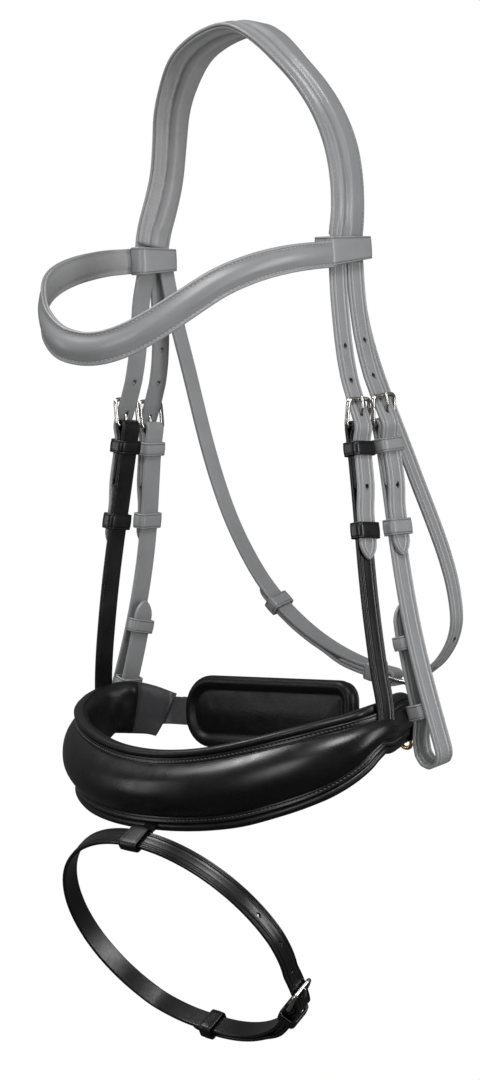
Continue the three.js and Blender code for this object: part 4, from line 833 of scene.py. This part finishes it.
# ----------------------------------------------------------- curved bands
class Band:
    """A flat band on a curved line: horizontal outward normal, W up across the band. rows: (x, y, z, half)."""
    def __init__(self, rows, extra=None, sigma=3.0):
        a = np.array(rows, float)
        if extra is not None:
            a = np.concatenate([a, np.array(extra, float)[:, None]], 1)
        p = np.concatenate([[2 * a[0] - a[1]], a, [2 * a[-1] - a[-2]]])
        out = []
        for i in range(1, len(p) - 2):
            x0, x1, x2, x3 = p[i - 1], p[i], p[i + 1], p[i + 2]
            d0, d1, d2 = [max(math.sqrt(np.linalg.norm((b - c)[:3])), 1e-4) for b, c in ((x0, x1), (x1, x2), (x2, x3))]
            t1 = ((x1 - x0) / d0 - (x2 - x0) / (d0 + d1) + (x2 - x1) / d1) * d1
            t2 = ((x2 - x1) / d1 - (x3 - x1) / (d1 + d2) + (x3 - x2) / d2) * d1
            t = np.linspace(0, 1, 48, endpoint=False)[:, None]
            out.append(x1 + t1 * t + (-3 * x1 + 3 * x2 - 2 * t1 - t2) * t ** 2 + (2 * x1 - 2 * x2 + t1 + t2) * t ** 3)
        out.append(p[-2][None])
        c = np.concatenate(out)
        s = np.concatenate([[0], np.cumsum(np.linalg.norm(np.diff(c[:, :3], axis=0), axis=1))])
        n = int(round(s[-1])) + 1
        self.s = np.linspace(0, s[-1], n)
        c = np.stack([np.interp(self.s, s, c[:, k]) for k in range(c.shape[1])], 1)
        self.c = gauss(c, sigma)
        self.length = self.s[-1]
        self.P = self.c[:, :3]
        self.T = unit(np.gradient(self.P, axis=0))
        N = np.stack([self.T[:, 1], -self.T[:, 0], np.zeros(n)], 1)
        N = unit(N)
        side = np.sign((N * (self.P - self.P.mean(0))).sum(1).mean())
        self.N = unit(gauss(N * side, 4.0))
        W = np.cross(self.T, self.N)
        self.W = unit(W * np.sign(W[:, 2].mean()))
    def at(self, s):
        s = np.atleast_1d(np.asarray(s, float))
        q = np.clip(s, 0, self.length)
        f = lambda a: np.stack([np.interp(q, self.s, a[:, k]) for k in range(a.shape[1])], 1)
        T = unit(f(self.T))
        c = f(self.c)
        return c[:, :3] + (s - q)[:, None] * T, T, unit(f(self.N)), unit(f(self.W)), c[:, 3:]

def band_shell(B, s0, s1, section, step=2.4, shear=None):
    """section(s, extra) -> (n, w, painted light) arrays of one length. shear(s) draws the lower edge back along the
    band.
    """
    ss = np.linspace(s0, s1, max(3, int((s1 - s0) / step)))
    rings, painted_light = [], []
    for s in ss:
        x = B.at(s)[4][0]
        n, w, t = section(s, x)
        n, w = np.asarray(n, float), np.asarray(w, float)
        sv = np.full(len(n), s)
        if shear is not None:
            sv = sv - shear(s) * np.clip(0.5 - 0.5 * w / x[0], 0, 1)
        P, T, N, W, X = B.at(sv)
        rings.append(P + n[:, None] * N + w[:, None] * W)
        painted_light.append(t)
    v, f = loft(rings)
    return v, f, np.concatenate(painted_light)

def band_row(B, s0, s1, n, w_of, sign=1, step=1.0):
    ss = np.arange(s0, s1, step)
    P, T, N, W, X = B.at(ss)
    w = np.array([w_of(x) for x in X])
    nn = np.array([n(x) for x in X]) if callable(n) else n
    return P + (nn[:, None] if hasattr(nn, 'shape') else nn) * N + w[:, None] * W, sign * N

# ---------------------------------------------------------------- browband
rows = []
for a, z in BROW_Z:
    t = math.radians(a)
    k = 1 - 0.032 * math.exp(-((a - 122) / 24) ** 2)
    rows.append([BROW_A * math.cos(t) * k, BROW_Y - BROW_B * math.sin(t) * k, z, 8.8 + 2.4 * math.sin(min(a, 180 - a) / 90 * math.pi / 2)])
BB = Band(rows)
BROW_E = np.array([0, 0.12, 0.4, 0.9, 1.5, 2.0, 2.4, 2.8, 3.2, 3.7, 4.2, 4.8, 5.5, 6.4, 7.6])
def brow_face(s, x):
    h = x[0]
    e = BROW_E
    u = min(max(s / BB.length, 0), 1)
    k = math.sin(math.pi * u) ** 0.7 * (1 - 0.42 * float(smooth(np.array(u), 0.5, 0.72)))
    er = np.sqrt(np.clip(1 - (1 - np.clip(e / 0.95, 0, 1)) ** 2, 0, 1))
    top = 0.75 + 1.0 * er - 0.28 * lump(e, 2.35, 0.6) + (0.5 + 2.6 * k) * smooth(e, 3.0, h) ** 0.72 + 0.25 * lump(e, 0.95, 0.7)
    w = h - e
    mid = 1.75 + (0.5 + 2.6 * k)
    n = np.concatenate([top, [mid], top[::-1], [0.1, 0.1]])
    ww = np.concatenate([w, [0.0], -w[::-1], [-h + 0.5, h - 0.5]])
    # painted shade in the stitched crease and at the foot of the bulge, painted highlight along the edge
    t1 = 0.5 - 0.12 * lump(e, 2.35, 0.6) - 0.10 * lump(e, 3.4, 0.35) + 0.12 * lump(e, 0.6, 0.6)
    t = np.concatenate([t1, [0.5], t1[::-1], [0.5, 0.5]])
    return n, ww, t
v, f, t = band_shell(BB, -2.6, BB.length + 5.2, brow_face)
bd = Build().add(v, f, t)
for sg in (-1, 1):
    add_stitches(bd, *band_row(BB, 2, BB.length - 2, 1.55, lambda x: sg * (x[0] - 2.35)), length=2.4, r=0.36, pitch=3.1, slant=0.12)
piece(bd, "browband_face_leather", GM, "browband", "browband_face", 'grey_leather')
def brow_lining(s, x):
    h = x[0]
    e = np.array([0, 0.2, 0.7, 1.4, 2.2, 2.8, 3.6, 4.8, 6.5])
    m = -1.25 - 0.55 * np.sqrt(np.clip(1 - (1 - np.clip(e / 0.9, 0, 1)) ** 2, 0, 1)) + 0.2 * lump(e, 2.4, 0.5) - 0.95 * smooth(e, 2.8, 6.5)
    w = h - 0.1 - e
    n = np.concatenate([[-0.1, -0.1], m[::-1] * 0 + m, [m[-1]], m[::-1]])
    ww = np.concatenate([[-h + 0.5, h - 0.5], w, [0.0], -w[::-1]])
    return n, ww, np.full(len(n), 0.5)
v, f, t = band_shell(BB, -1.8, BB.length + 4.4, brow_lining)
bd = Build().add(v, f, t)
for sg in (-1, 1):
    add_stitches(bd, *band_row(BB, 3, BB.length - 3, -1.6, lambda x: sg * (x[0] - 2.5), -1), length=2.2, r=0.34, pitch=3.1)
piece(bd, "browband_lining_leather", [GREY_LIN, THREAD_G], "browband", "browband_lining", 'grey_lining')

class Fixed:
    def __init__(self, P, T, N, W):
        self.a = [np.array([x], float) for x in (P, T, N, W)]
    def at(self, s):
        return self.a
def brow_loop(sg, z, y0, y1, x0, x1, skew, taper):
    fr = Fixed((sg * (x0 + x1) / 2, (y0 + y1) / 2, z), (0, 0, -1), (sg, 0, 0), (0, 1, 0))
    v, f, t = band(fr, 0, -(x1 - x0) / 2, (x1 - x0) / 2, (y1 - y0) / 2, 17.6, 2.0, 3.0, 1.0, skew, taper)
    bd = Build().add(v, f, t)
    return bd
bd = brow_loop(1, -152.6, -12.6, 27.6, 85.0, 97.4, 0.10, 0.14)
piece(bd, "browband_loop_near_leather", [GREY], "browband", "browband_loop_near", 'grey_leather')
bd = brow_loop(-1, -154.4, -12.5, 21.4, 85.8, 95.2, 0.05, 0.12)
piece(bd, "browband_loop_far_leather", [GREY], "browband", "browband_loop_far", 'grey_leather')

# ---------------------------------------------------------------- noseband
rows = [[x, y, (t + b) / 2, (t - b) / 2] for x, y, t, b in NOSE_END]
for a, t, b in NOSE:
    q = math.radians(a)
    b += 3.4 * math.exp(-((a - 27) / 22) ** 2)
    rows.append([NOSE_A * math.cos(q), -NOSE_B * math.sin(q), (t + b) / 2, (t - b) / 2])
for a, t, b in NOSE[-2::-1]:
    q = math.radians(a)
    t -= 0.5 * math.exp(-((a - 42) / 16) ** 2)
    b -= 0.8 * math.exp(-((a - 42) / 16) ** 2)
    g_ = 1 + 0.014 * math.exp(-((a - 42) / 20) ** 2)
    rows.append([-NOSE_A * math.cos(q) * g_, -NOSE_B * math.sin(q) * g_, (t + b) / 2, (t - b) / 2])
cnt = len(rows) + len(NOSE_END)
rows += [[-x, y, (t + b) / 2, (t - b) / 2] for x, y, t, b in NOSE_END_FAR[::-1]]
def crown_n(i):
    k = 1 - abs(i - (cnt - 1) / 2) / ((cnt - 1) / 2)
    return 4.6 + 8.6 * min(1, k * 1.25) ** 0.9 + (0.6 * math.exp(-((i - cnt * 0.70) / 3.2) ** 2))
NB = Band(rows, [crown_n(min(i, cnt - 1)) for i in range(len(rows))], 2.0)
LN = NB.length
# where the hangers cross the top edge
def nearest(B, p):
    return B.s[np.argmin(np.linalg.norm((B.P - p)[:, :2], axis=1))]
HN, HF = nearest(NB, np.array([136.3, 0.4, -458])), nearest(NB, np.array([-136.2, -2.0, -458]))
def dent(s):
    return max(math.exp(-(abs(s - HN) / 10.5) ** 4), math.exp(-(abs(s - HF) / 10.5) ** 4))

LIP = 5.2      # the padding roll beyond the cover
def arc2(cx, cy, rx, ry, a0, a1, k):
    a = np.radians(np.linspace(a0, a1, k))
    return [(cx + rx * math.cos(x), cy + ry * math.sin(x)) for x in a]

COVER_END = NB.s[np.argmin(np.linalg.norm(NB.P[:, :2] - np.array([-119.6, 41.2]), axis=1))]
def flap(s):
    """1 on the padded part, 0 on the flat flap at the far end."""
    return float(smooth(np.array(LN - s), 28.0, 34.5))
def slant(s):
    return 8.2 * float(smooth(np.array(s), LN - 36, LN - 2))

def nose_lining(s, x):
    h, c = x
    d = dent(s)
    fl = flap(s)
    wr = (0.22 * math.sin(s * 0.55) * math.sin(s * 0.13 + 1) + 0.12 * math.sin(s * 1.1)) * fl + 0.8 * math.sin((LN - s) * 0.36) * math.exp(-((LN - s - 50) / 15) ** 2) * fl
    end = float(smooth(np.array(s), 0, 26)) * fl
    rn = (3.6 - 2.7 * d) * (0.35 + 0.65 * end)         # how far the top roll stands out
    rb = 2.9 * (0.35 + 0.65 * end)
    inn = -3.6 - 4.0 * (0.35 * fl + 0.65 * end)
    q = inn / -7.6
    up = [(0.9, h - LIP - 1.2), (0.9, h - LIP - 0.3)]
    cr, rr = h - LIP * 0.46, LIP * 0.5
    # top roll, from the crease beside the cover over the lip to the inside
    up += [(rn * math.sin(math.radians(a)) ** 0.8, cr - rr * math.cos(math.radians(a))) for a in (12, 25, 40, 55, 72, 90)]
    up += [(rn * math.cos(math.radians(a)), cr + rr * 1.12 * math.sin(math.radians(a))) for a in (18, 36, 54, 72, 90)]
    up += [(-1.3 * q, h + 0.62), (-2.6 * q, h + 0.5), (-3.8 * q, h + 0.1), (-4.8 * q, h - 0.8), (inn * 0.80, h - 2.2), (inn * 0.93 + wr * 0.3, h - 4.5), (inn + wr * 0.6, h - 7.0), (inn + wr, h * 0.5), (inn - 0.3 * q + wr, h * 0.2)]
    lo = [(0.9, -(h - LIP - 1.2)), (0.9, -(h - LIP - 0.3))]
    lo += [(rb * math.sin(math.radians(a)) ** 0.8, -(cr - rr * math.cos(math.radians(a)))) for a in (12, 25, 40, 55, 72, 90)]
    lo += [(rb * math.cos(math.radians(a)), -(cr + rr * 1.12 * math.sin(math.radians(a)))) for a in (18, 36, 54, 72, 90)]
    lo += [(-1.3 * q, -h - 0.62), (-2.6 * q, -h - 0.5), (-3.8 * q, -h - 0.1), (-4.8 * q, -h + 0.8), (inn * 0.80, -h + 2.2), (inn * 0.93 + wr * 0.3, -h + 4.5), (inn - wr * 0.6, -h + 7.0), (inn - wr, -h * 0.5), (inn - 0.3 * q - wr, -h * 0.2)]
    pts = up + lo[::-1]
    n = np.array([p[0] for p in pts]); w = np.array([p[1] for p in pts])
    # painted shade in the creases beside the cover, painted highlight on the top and bottom padding rolls
    t = np.full(len(pts), 0.5)
    t[1:3] = 0.3; t[-3:-1] = 0.3
    t[5:11] = 0.56
    return n, w, t
v, f, t = band_shell(NB, 0.5, LN - 0.3, nose_lining, 2.2, slant)
bd = Build().add(v, f, t)
_ns = max(3, int((LN - 0.8) / 2.2)); _m = len(v) // _ns
_ss = np.linspace(0.5, LN - 0.3, _ns)
# faces of the far flap take the lighter copy of the black leather: painted sheen where the flap catches light
for _i in range((_ns - 1) * _m):
    if _ss[_i // _m] > LN - 31.5:
        bd.m[_i] = 1
bd.m[-1] = 1
o = piece(bd, "noseband_padding", [BLACK_PAD, BLACK_FLAP_PAINTED_SHEEN], "noseband", "noseband_lining", 'padded_lining')
v, f, t = band_shell(NB, 14, COVER_END - 16, lambda s, x: (np.array([-0.7, 0.7, 0.7, -0.7]), np.array([-1, -1, 1, 1]) * (x[0] - LIP - 3.0), np.full(4, .5)), 6)
piece(Build().add(v, f, t), "noseband_board", [BLACK], "noseband", "noseband_core", 'black_leather')

NOSE_E = np.array([0, 0.1, 0.35, 0.8, 1.3, 1.9, 2.4, 2.9, 3.5, 4.0, 4.35, 4.7, 5.1, 5.6, 6.3, 7.2, 8.5])
def nose_cover(s, x):
    h, c = x
    g = h - LIP + 0.5
    e = NOSE_E
    er = np.sqrt(np.clip(1 - (1 - np.clip(e / 0.8, 0, 1)) ** 2, 0, 1))
    top = 2.0 + 0.95 * er - 0.24 * lump(e, 2.4, 0.55) - 0.35 * lump(e, 4.45, 0.35)
    rise = (c - 2.95)
    def dome(ww):
        # broad bulge, fullest a little above the middle
        q = np.clip((g - 4.4 - np.abs(ww)) / max(g - 4.4, 1), 0, 1)
        return rise * (1 - (1 - q) ** 2.3)
    mid = np.linspace(1, -1, 15)[1:-1] * (g - 8.5)
    wt = g - e
    full_w = np.concatenate([wt, mid, -wt[::-1]])
    base = np.concatenate([top, np.full(13, 2.95), top[::-1]])
    n = base + dome(full_w)
    # painted highlight along the edge, painted shade in the stitch line and the channel beside the bulge
    t1 = 0.5 + 0.08 * lump(e, 0.6, 0.5) - 0.10 * lump(e, 2.4, 0.5) - 0.28 * lump(e, 4.45, 0.45)
    t = np.concatenate([t1, np.full(13, 0.5), t1[::-1]])
    n = np.concatenate([n, [1.25, 1.25]]); w = np.concatenate([full_w, [-g + 0.2, g - 0.2]])
    t = np.concatenate([t, [0.5, 0.5]])
    return n, w, t
v, f, t = band_shell(NB, 2.0, COVER_END - 0.5, nose_cover, 2.2, slant)
bd = Build().add(v, f, t)
for sg in (-1, 1):
    add_stitches(bd, *band_row(NB, 6, COVER_END - 14, 2.82, lambda x: sg * (x[0] - LIP + 0.5 - 2.4)), length=2.5, r=0.42, pitch=3.0, slant=0.35)
piece(bd, "noseband_cover_leather", [BLACK, THREAD_B], "noseband", "noseband_cover", 'black_leather')

# --------------------------------------------------------------- crank strap
r, CH, a = R['crank'], 129.0, 6.0
ring_fold = [[a + FOLD_R * math.cos(math.radians(q)), FOLD_R + FOLD_R * math.sin(math.radians(q))] for q in (-90, -125, -160, 160, 125, 90)]
keys = [[235.0, -13.65], [232.2, -6.2], [230.3, -2.4], [227.2, -0.5], [223.2, 0], [a + 20, 0]] + ring_fold + [[a + 4, 6.0], [a + 12, 4.2], [a + 20, 3.2], [CH - 50, 3.2], [CH - 40, 4.0]] + billet_keys(CH, CH + 62, LAYER)[:-3] + [[CH + 62, LAYER + 5.9]]
v, f, t, info = strap(r, keys, CRANK_W, LEATHER, 'flat', 'point')
bd = Build().add(v, f, t)
for w in (-CRANK_W / 2 + 2.9, CRANK_W / 2 - 2.9):
    add_stitches(bd, *strap_line(info, 20, 222, -1.3, w))
    add_stitches(bd, *strap_line(info, 20, 222, 1.3, w))
# the crank strap takes the lighter copy of the black leather, a painted sheen
o = bd.done("crank_strap_leather", [BLACK_CRANK_PAINTED_SHEEN, THREAD_B], "noseband")
q, sn, C, T, N, W, tot, c, L = info
hp = []
for hs in [CH - 7.5 + k for k in (-60, -40, -20, 0, 20)]:
    i = np.argmax((c[:, 0] >= hs) & (L > 250))
    hp.append((np.array([np.interp(L[i], q, C[:, k]) for k in range(3)]), np.array([np.interp(L[i], q, N[:, k]) for k in range(3)])))
CRANK_HOLES = hp
holes(o, hp, depth=4.6)
finish_piece(o, "crank_strap")
v, f, t, info = strap(r, [[219, LAYER], [CH + 60, LAYER]] + fold_keys(CH, LAYER), CRANK_W, LEATHER, 'flat', 'flat', skive=(0, 5))
bd = Build().add(v, f, t)
for w in (-CRANK_W / 2 + 2.9, CRANK_W / 2 - 2.9):
    add_stitches(bd, *strap_line(info, info[6] - SHORT_END + 4, info[6] - 2.5, 1.3, w))
piece(bd, "crank_buckle_chape_leather", [BLACK, THREAD_B], "noseband", "crank_buckle_chape", 'black_leather')
piece(buckle(r, CH, CRANK_W / 2, LAYER), "crank_buckle_wire", [STEEL], "noseband", "crank_buckle", 'stainless_steel')
piece(tongue(r, CH, LAYER), "crank_tongue_wire", [STEEL], "crank_tongue", "crank_tongue", 'stainless_steel')
piece(band(r, CH + 15.5, -1.9, LAYER + 8.0, CRANK_W / 2 + 0.6, 9), "crank_keeper_loop", [BLACK], "noseband", "crank_keeper", 'black_leather')
b_, rr_, hw_, rc_ = -2.8, 1.4, 14.6, 3.0
pts = [(a, -hw_ + rc_), (a, hw_ - rc_), (a - 0.9, hw_ - 0.9), (a - rc_, hw_), (b_ + rc_, hw_), (b_ + 0.9, hw_ - 0.9), (b_, hw_ - rc_), (b_, -hw_ + rc_), (b_ + 0.9, -hw_ + 0.9), (b_ + rc_, -hw_), (a - rc_, -hw_), (a - 0.9, -hw_ + 0.9)]
cl = soft_closed([put(r, s_, 0, FOLD_R, w_) for s_, w_ in pts], 0.7, 0.5)
piece(sweep(cl, rr_, True, 16), "crank_ring_wire", [BRASS], "noseband", "crank_ring_near", 'brass')
q2 = 2.7
keys = [[-10.9, -13.7], [-7.6, -5.3], [-6.2, -1.6], [-4.9, 0.1]] + [[b_ + q2 * math.cos(math.radians(d)), FOLD_R + q2 * math.sin(math.radians(d))] for d in (-90, -45, 0, 45, 90)] + [[-4.6, 5.6], [-6.6, 4.4], [-8.0, 2.4], [-8.9, 0.2], [-9.6, -2.2]]
v, f, t, info = strap(r, keys, 19, 2.0, 'flat', 'flat', crease=0, soft=0.5, step=1.2)
piece((v, f, t), "crank_ring_chape_leather", [BLACK], "noseband", "crank_ring_chape", 'black_leather')

# ------------------------------------------------------------------ chin pad
def super_outline(hx, hz, rad, k=9):
    out = []
    for sx, sz, a0, ra in ((1, 1, 0, rad[0]), (-1, 1, 90, rad[1]), (-1, -1, 180, rad[2]), (1, -1, 270, rad[3])):
        cx, cz = sx * (hx - ra), sz * (hz - ra)
        for i in range(k):
            q = math.radians(a0 + 90 * i / (k - 1))
            out.append((cx + ra * math.cos(q), cz + ra * math.sin(q)))
    p = np.array(out)
    c, s = resample(np.concatenate([p, p[:1]]), 1.9)
    c = c[:-1]
    c[:, 1] += 0.016 * (c[:, 0] + hx)
    return c

PX, PZ, PHX, PHZ = -6.5, CRANK_Z + 1.8, 81.5, 25.5
PR = (14.0, 24.0, 23.5, 16.0)
def pad_levels(levels, rnd=None):
    """levels: (y, inset). Rings shrink evenly, so each keeps the same point count."""
    base = super_outline(PHX, PHZ, PR)
    # inward unit normals of the outline
    tn = unit(np.roll(base, -1, 0) - np.roll(base, 1, 0))
    inn = np.stack([-tn[:, 1], tn[:, 0]], 1)
    if ((inn * base).sum(1) > 0).mean() > 0.5:
        inn = -inn
    rings = []
    for y, ins in levels:
        p = base + inn * ins
        if ins > 6:
            g_ = np.exp(-0.5 * (np.arange(-14, 15) / (0.2 + (ins - 6) * 0.45)) ** 2)
            g_ /= g_.sum()
            p = sum(np.roll(p, j - 14, 0) * g_[j] for j in range(29))
        rings.append(np.stack([p[:, 0] + PX, np.full(len(p), y), p[:, 1] + PZ], 1))
    return rings, base, inn

def cushion():
    """Piped rim roll, a sewn groove inside it, and a soft recessed middle with fine upright creases."""
    rim = [(39.4, 6.0), (39.3, 1.6), (38.8, 0.5), (37.6, 0.0), (36.2, -0.15), (34.6, 0.0), (33.2, 0.5), (32.1, 1.3), (31.35, 2.3), (31.0, 3.4), (30.95, 4.5), (31.2, 5.6), (31.7, 6.6), (32.45, 7.5), (33.2, 8.3), (33.8, 9.0), (34.1, 9.8), (34.1, 10.7), (33.9, 12.0)]
    rings, base, inn = pad_levels(rim)
    v = [r_ for r_ in rings]
    n = len(base)
    verts = np.concatenate(v)
    k = len(rings)
    faces = []
    for i in range(k - 1):
        for j in range(n):
            q = (j + 1) % n
            faces.append((i * n + j, i * n + q, (i + 1) * n + q, (i + 1) * n + j))
    # middle: rings drawn in towards the long axis, with a few soft upright creases
    last = rings[-1]
    spine = np.stack([np.clip(last[:, 0] - PX, -(PHX - 26), PHX - 26) + PX, last[:, 1], np.full(n, PZ)], 1)
    spine[:, 2] += 0.016 * (spine[:, 0] - PX + PHX)
    base_i = (k - 1) * n
    nv = len(verts)
    extra = []
    fade = [(0.14, 1.0), (0.3, 1.0), (0.46, 1.0), (0.62, 0.8), (0.76, 0.4), (0.86, 0.0)]
    for ww, am in fade:
        p = last * (1 - ww) + spine * ww
        x = p[:, 0]
        dy = 0.20 * np.sin(x * 0.62 + 1.4 * np.sin(x * 0.17) + 0.9 * np.sin(p[:, 2] * 0.16)) * np.exp(-((x + 56) / 12) ** 2) + 0.06 * np.sin(x * 0.4 + 1.3 + 1.6 * np.sin(x * 0.13) + 0.5 * np.sin(p[:, 2] * 0.2)) * np.exp(-((x - 5) / 30) ** 2)
        p = p.copy(); p[:, 1] = 33.8 - 0.9 * ww + dy * am
        extra.append(p)
    verts = np.concatenate([verts] + extra)
    prev = base_i
    for m in range(len(fade)):
        cur = nv + m * n
        for j in range(n):
            q = (j + 1) % n
            faces.append((prev + j, prev + q, cur + q, cur + j))
        prev = cur
    faces.append(tuple(prev + j for j in range(n)))
    faces.append(tuple(range(n - 1, -1, -1)))
    # painted light on the cushion: painted shade in the groove inside the rim, painted highlight on the front of the
    # rim roll
    t = np.full(len(verts), 0.5)
    for i, (y, ins) in enumerate(rim):
        if ins > 7:
            t[i * n:(i + 1) * n] = 0.5 - 0.24 * math.exp(-((ins - 9.8) / 1.2) ** 2)
        if 0.5 < ins < 4.9 and y < 35:
            t[i * n:(i + 1) * n] = 0.56
    return verts, faces, t

cv, cf, ct = cushion()
# weld the collapsed middle so that the surface is one clean skin
me = bpy.data.meshes.new("chin_pad_cushion_leather")
me.from_pydata((cv * MM).tolist(), [], [tuple(int(i) for i in q) for q in cf])
at = me.attributes.new("painted_light", 'FLOAT', 'POINT')
at.data.foreach_set("value", ct.astype(np.float32))
import bmesh
bmh = bmesh.new(); bmh.from_mesh(me)
bmesh.ops.remove_doubles(bmh, verts=bmh.verts, dist=0.00002)
bmesh.ops.dissolve_degenerate(bmh, dist=0.00001, edges=bmh.edges)
bmesh.ops.recalc_face_normals(bmh, faces=bmh.faces)
bmh.to_mesh(me); bmh.free()
me.materials.append(BLACK_CHIN)
me.polygons.foreach_set("use_smooth", [True] * len(me.polygons))
o = bpy.data.objects.new("chin_pad_cushion_leather", me)
SCN.collection.objects.link(o)
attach(o, "chin_pad")
finish_piece(o, "chin_pad_cushion")

rings, base, inn = pad_levels([(39.8, 2.2), (39.75, 1.7), (40.1, 1.25), (41.0, 1.1), (41.9, 1.25), (42.2, 1.7), (42.15, 2.4), (41.95, 2.9), (42.1, 3.4), (42.2, 4.0)])
v, f = loft(rings)
bd = Build().add(v, f, 0.5)
pp = base + inn * 2.9
line = np.stack([pp[:, 0] + PX, np.full(len(pp), 42.1), pp[:, 1] + PZ], 1)
add_stitches(bd, np.concatenate([line, line[:1]]), np.tile([0.0, 1.0, 0.0], (len(line) + 1, 1)), length=2.3, r=0.38, pitch=3.1)
piece(bd, "chin_pad_backing_leather", [BLACK, THREAD_B], "chin_pad", "chin_pad_backing", 'black_leather')
piece(band(R['crank'], 58, -1.9, 5.3, CRANK_W / 2 + 0.8, 10), "chin_pad_loop_near_leather", [BLACK], "chin_pad", "chin_pad_loop_near", 'black_leather')
piece(band(R['crank'], 178, -1.9, 10.9, CRANK_W / 2 + 0.8, 10), "chin_pad_loop_far_leather", [BLACK], "chin_pad", "chin_pad_loop_far", 'black_leather')

# ------------------------------------------------------------------- world
w = bpy.data.worlds.new("studio")
SCN.world = w
w.use_nodes = True
nt = w.node_tree
nt.nodes.clear()
N_, L_ = nt.nodes.new, nt.links.new
out = N_('ShaderNodeOutputWorld'); mixw = N_('ShaderNodeMixShader'); lp = N_('ShaderNodeLightPath')
b1 = N_('ShaderNodeBackground'); b2 = N_('ShaderNodeBackground')
b2.inputs[0].default_value = (1, 1, 1, 1); b2.inputs[1].default_value = 1.0
tcw = N_('ShaderNodeTexCoord'); sep = N_('ShaderNodeSeparateXYZ'); mrw = N_('ShaderNodeMapRange'); cmb = N_('ShaderNodeCombineXYZ')
L_(tcw.outputs['Generated'], sep.inputs[0]); L_(sep.outputs['Z'], mrw.inputs['Value'])
mrw.inputs['From Min'].default_value = -0.6; mrw.inputs['From Max'].default_value = 0.9
mrw.inputs['To Min'].default_value = 0.05; mrw.inputs['To Max'].default_value = 0.20
for k in range(3):
    L_(mrw.outputs[0], cmb.inputs[k])
L_(cmb.outputs[0], b1.inputs[0]); b1.inputs[1].default_value = 1.0
L_(lp.outputs['Is Camera Ray'], mixw.inputs[0]); L_(b1.outputs[0], mixw.inputs[1]); L_(b2.outputs[0], mixw.inputs[2]); L_(mixw.outputs[0], out.inputs[0])
SCN.view_settings.view_transform = 'Standard'

def area(name, loc, target, size, energy, size_y=None):
    ld = bpy.data.lights.new(name, 'AREA')
    ld.energy = energy
    ld.shape = 'RECTANGLE' if size_y else 'SQUARE'
    ld.size = size
    if size_y:
        ld.size_y = size_y
    o = bpy.data.objects.new(name, ld)
    SCN.collection.objects.link(o)
    o.location = loc
    o.rotation_euler = (Vector(target) - Vector(loc)).to_track_quat('-Z', 'Y').to_euler()
    o.visible_camera = False
    return o
# image left is (-1,-1)/sqrt2, towards the camera is (1,-1)/sqrt2
area("top_right_softbox", (1.25, -0.75, 1.45), (0.0, 0.0, -0.36), 0.9, 32.0, 0.8)
area("top_left_softbox", (-1.0, -0.85, 1.6), (0.0, 0.0, -0.36), 0.8, 30.0, 0.7)
area("left_strip", (-1.8, -1.8, -0.15), (0.0, 0.0, -0.40), 0.4, 7.0, 1.3)
area("front_fill", (1.2, -2.6, 0.1), (0.0, 0.0, -0.34), 1.2, 20.0)
area("right_strip", (2.05, 0.75, -0.1), (0.0, 0.0, -0.34), 0.4, 21.0, 1.5)

# a plain floor far below, out of the main view
K = 64
fv = [(0, 0, -1.6)] + [(5 * math.cos(2 * math.pi * i / K), 5 * math.sin(2 * math.pi * i / K), -1.6) for i in range(K)]
fme = bpy.data.meshes.new("studio_floor")
fme.from_pydata(fv, [], [(0, 1 + i, 1 + (i + 1) % K) for i in range(K)])
floor_mat = bpy.data.materials.new("studio_floor_paper")
floor_mat.use_nodes = True
bs = floor_mat.node_tree.nodes["Principled BSDF"]
ns = floor_mat.node_tree.nodes.new('ShaderNodeTexNoise'); ns.inputs['Scale'].default_value = 3.0
rp = floor_mat.node_tree.nodes.new('ShaderNodeValToRGB')
rp.color_ramp.elements[0].color = (0.74, 0.74, 0.74, 1); rp.color_ramp.elements[1].color = (0.80, 0.80, 0.80, 1)
floor_mat.node_tree.links.new(ns.outputs['Fac'], rp.inputs[0]); floor_mat.node_tree.links.new(rp.outputs[0], bs.inputs['Base Color'])
bs.inputs['Roughness'].default_value = 0.9
fme.materials.append(floor_mat)
floor = bpy.data.objects.new("studio_floor", fme)
SCN.collection.objects.link(floor)
floor.visible_glossy = False
